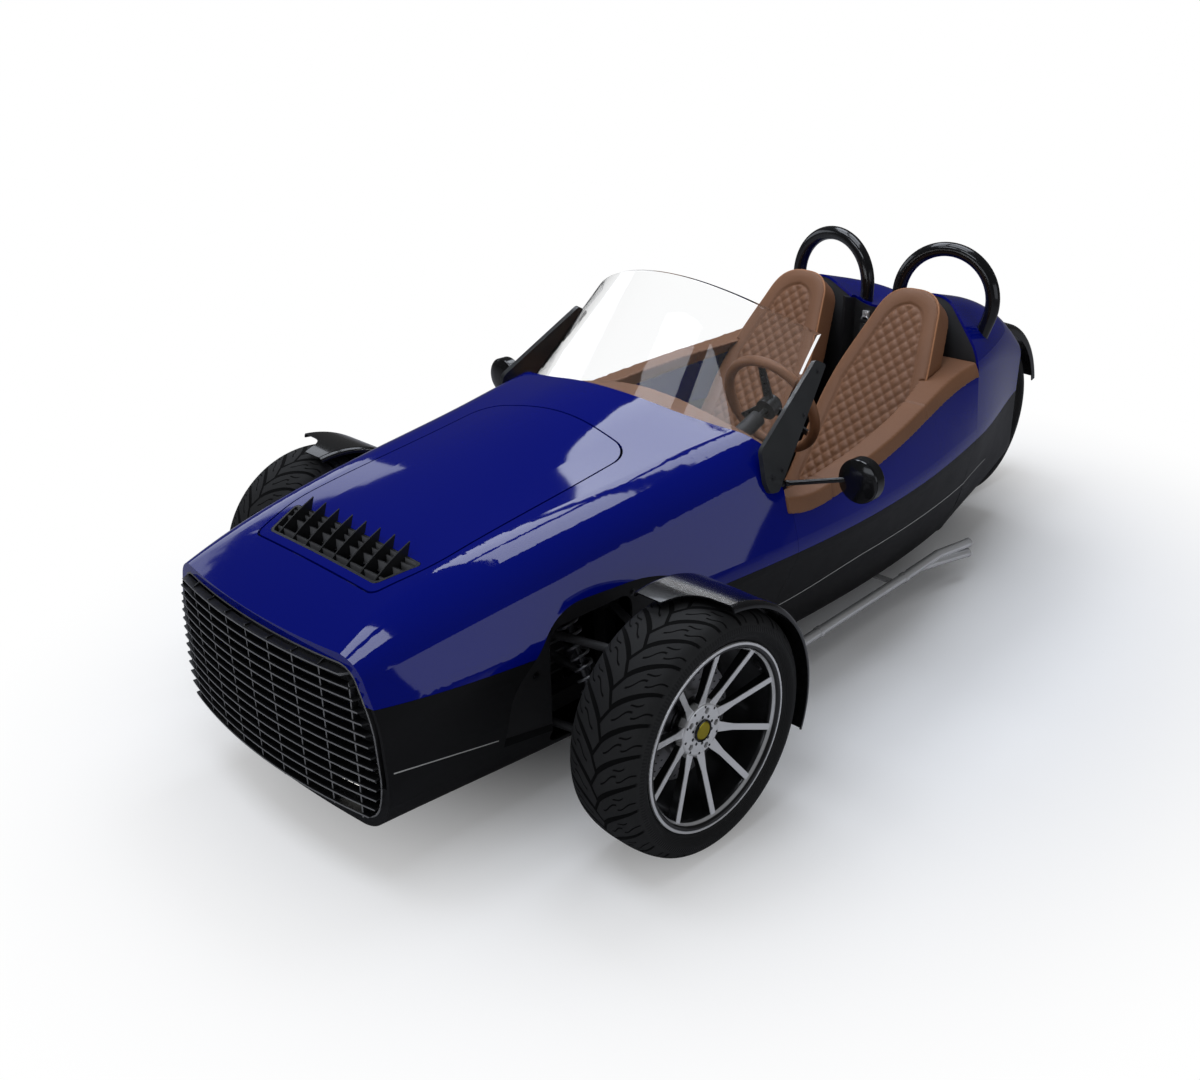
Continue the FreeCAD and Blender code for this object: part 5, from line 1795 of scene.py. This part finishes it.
@dataclass
class MirrorFaces:
    """Glass, shell dome and foot of each mirror."""

    palette: Palette
    centre: Spot = (0.716, -0.365, 0.720)
    stalk_foot: Spot = (0.510, -0.500, 0.690)
    radius: float = 0.062

    def build(self, body: bpy.types.Object) -> None:
        """Makes the parts of both mirrors.

        Args:
            body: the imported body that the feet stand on.
        """
        glass, shell = Form(), Form()
        for side in Side:
            x, y, z = side.value * self.centre[0], *self.centre[1:]
            back = Vector((x, y + 0.014, z))
            front = Vector((x, y - 0.016, z))
            inner, outer = back - Vector((0, 0.002, 0)), back + Vector((0, 0.0006, 0))
            glass.rod(inner, outer, self.radius - 0.005, sides=48)
            shell.turned(
                [(-0.001, self.radius - 0.0048), (-0.001, self.radius), (0.0025, self.radius - 0.0012),
                 (0.0025, self.radius - 0.0048)],
                back, ALONG_Y, 56)
            shell.turned(
                [(-0.001, 0.0), (-0.001, self.radius - 0.001), (0.004, self.radius - 0.003), (0.010, 0.046),
                 (0.014, 0.024), (0.015, 0.0)],
                front, (0.0, -1.0, 0.0), 56)
            foot = side.put(self.stalk_foot)
            head = Vector((x - side.value * 0.020, y - 0.010, z))
            way = (foot - head).normalized()
            hit, spot, normal, _ = body.ray_cast(head, way)
            if hit:
                shell.rod(spot - normal * 0.003, spot + normal * 0.004, 0.019, 0.016, 28)
                shell.rod(spot, spot - way * 0.022, 0.0115, 0.0082, 20)
        glass.done("mirror_glass", self.palette.mirror)
        shell.done("mirror_shells", self.palette.black)


@dataclass
class PipeParts:
    """Soot and painted shade inside the exhaust tips, and clamps round the pipes."""

    palette: Palette
    # a point inside each pipe and the middle of its open end
    tips: tuple[tuple[Spot, Spot], ...] = (
        ((0.480, 0.550, 0.098), (0.505, 0.688, 0.091)),
        ((0.475, 0.530, 0.126), (0.503, 0.692, 0.128)),
    )
    clamps_y: tuple[float, ...] = (0.330, -0.180)

    def build(self) -> None:
        """Makes the parts of both pipes."""
        soot_and_shade, clamps = Form(), Form()
        for side in Side:
            for before, tip in self.tips:
                a, b = side.put(before), side.put(tip)
                inwards = (a - b).normalized()
                # a dark disc a little way in closes each pipe as painted shade for its depth; the dark
                # lining after it stands for soot
                soot_and_shade.rod(b + inwards * 0.079, b + inwards * 0.060, 0.0129, sides=32)
                soot_and_shade.turned(
                    [(0.004, 0.0126), (0.004, 0.0129), (0.060, 0.0129), (0.060, 0.0126)], b, inwards, 32)
                clamps.turned(
                    [(0.0005, 0.0132), (0.0005, 0.0168), (0.008, 0.0171), (0.008, 0.0158)], b, inwards, 36)
            for y in self.clamps_y:
                spot = side.put((0.505 - 0.040 * (y + 0.520) / 0.950, y, 0.106))
                clamps.turned(
                    [(-0.008, 0.0150), (-0.008, 0.0185), (0.008, 0.0185), (0.008, 0.0150)],
                    spot, ALONG_Y, 36)
        soot_and_shade.done("pipe_soot_and_shade", self.palette.moulded)
        clamps.done("pipe_clamps", self.palette.chrome)


@dataclass
class Fixings:
    """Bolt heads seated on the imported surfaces."""

    palette: Palette
    reach: float = 0.6

    def build(self, nodes: dict[str, bpy.types.Object]) -> None:
        """Makes the bolts of each group.

        Args:
            nodes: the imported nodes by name.
        """
        across = (1.0, 0.0, 0.0)
        arch = (0.25, 0.75, 1.25, 1.89, 2.39, 2.89)
        plan: tuple[tuple[str, str, Spot, tuple[Spot, ...], float], ...] = (
            ("blade_bolts", "screen_blades", across,
             ((0.7, -0.480, 0.735), (0.7, -0.525, 0.725), (0.7, -0.350, 0.850), (0.7, -0.262, 0.950)),
             0.0050),
            ("well_bolts", "wheel_wells", across,
             tuple((0.6, -1.10 + 0.20 * math.cos(turn), 0.34 + 0.24 * math.sin(turn)) for turn in arch),
             0.0065),
            ("tail_bolts", "tail_panel", ALONG_Y,
             ((0.270, 1.5, 0.500), (0.270, 1.5, 0.680), (0.262, 1.5, 0.300), (0.230, 1.5, 0.720)), 0.0055),
            ("bulkhead_bolts", "rear_bulkhead", (0.0, -1.0, 0.0),
             ((0.075, 0.60, 0.900), (0.075, 0.60, 0.560), (0.120, 0.60, 0.400)), 0.0050),
            ("firewall_bolts", "firewall", ALONG_Y,
             tuple((x, -0.5, z) for x in (0.080, 0.420) for z in (0.300, 0.520)), 0.0060),
        )
        for name, node, way, spots, size in plan:
            form = Form()
            for spot in spots:
                for side in Side:
                    self.seat(form, nodes[node], side.put(spot), side.put(way), size)
            form.done(name, self.palette.steel)

    def seat(self, form: Form, node: bpy.types.Object, start: Vector, way: Vector, size: float) -> None:
        """Seats one bolt where a line from start, against way, meets the node."""
        hit, spot, normal, _ = node.ray_cast(start, -way, distance=self.reach)
        if hit:
            form.bolt(spot, normal if normal.dot(way) > 0 else -normal, size, size * 0.65)


def main() -> None:
    """Builds the scene in order."""
    logging.basicConfig(level=logging.INFO, format="%(message)s")
    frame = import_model()
    nodes = frame["nodes"]
    Studio().build()
    palette = Palette()
    Chassis(palette).dress(nodes)
    for side in Side:
        hub = (side.value * TRACK_HALF, *FRONT_AXLE)
        WheelParts(palette, side.word, hub, 0.045, 0.0975, side.value).build()
    WheelParts(palette, "rear", (0.0, *REAR_AXLE), 0.060, 0.1255).build()
    SpringLegs(palette).build()
    for side in Side:
        Seat(side, palette).build(nodes[f"{side.word}_seat"])
    PaddedRim(palette).build(nodes)
    Controls(palette).build()
    BeltFittings(palette).build()
    Lamps(palette).build()
    MirrorFaces(palette).build(nodes["front_body"])
    PipeParts(palette).build()
    Fixings(palette).build(nodes)


if __name__ == "__main__":
    main()
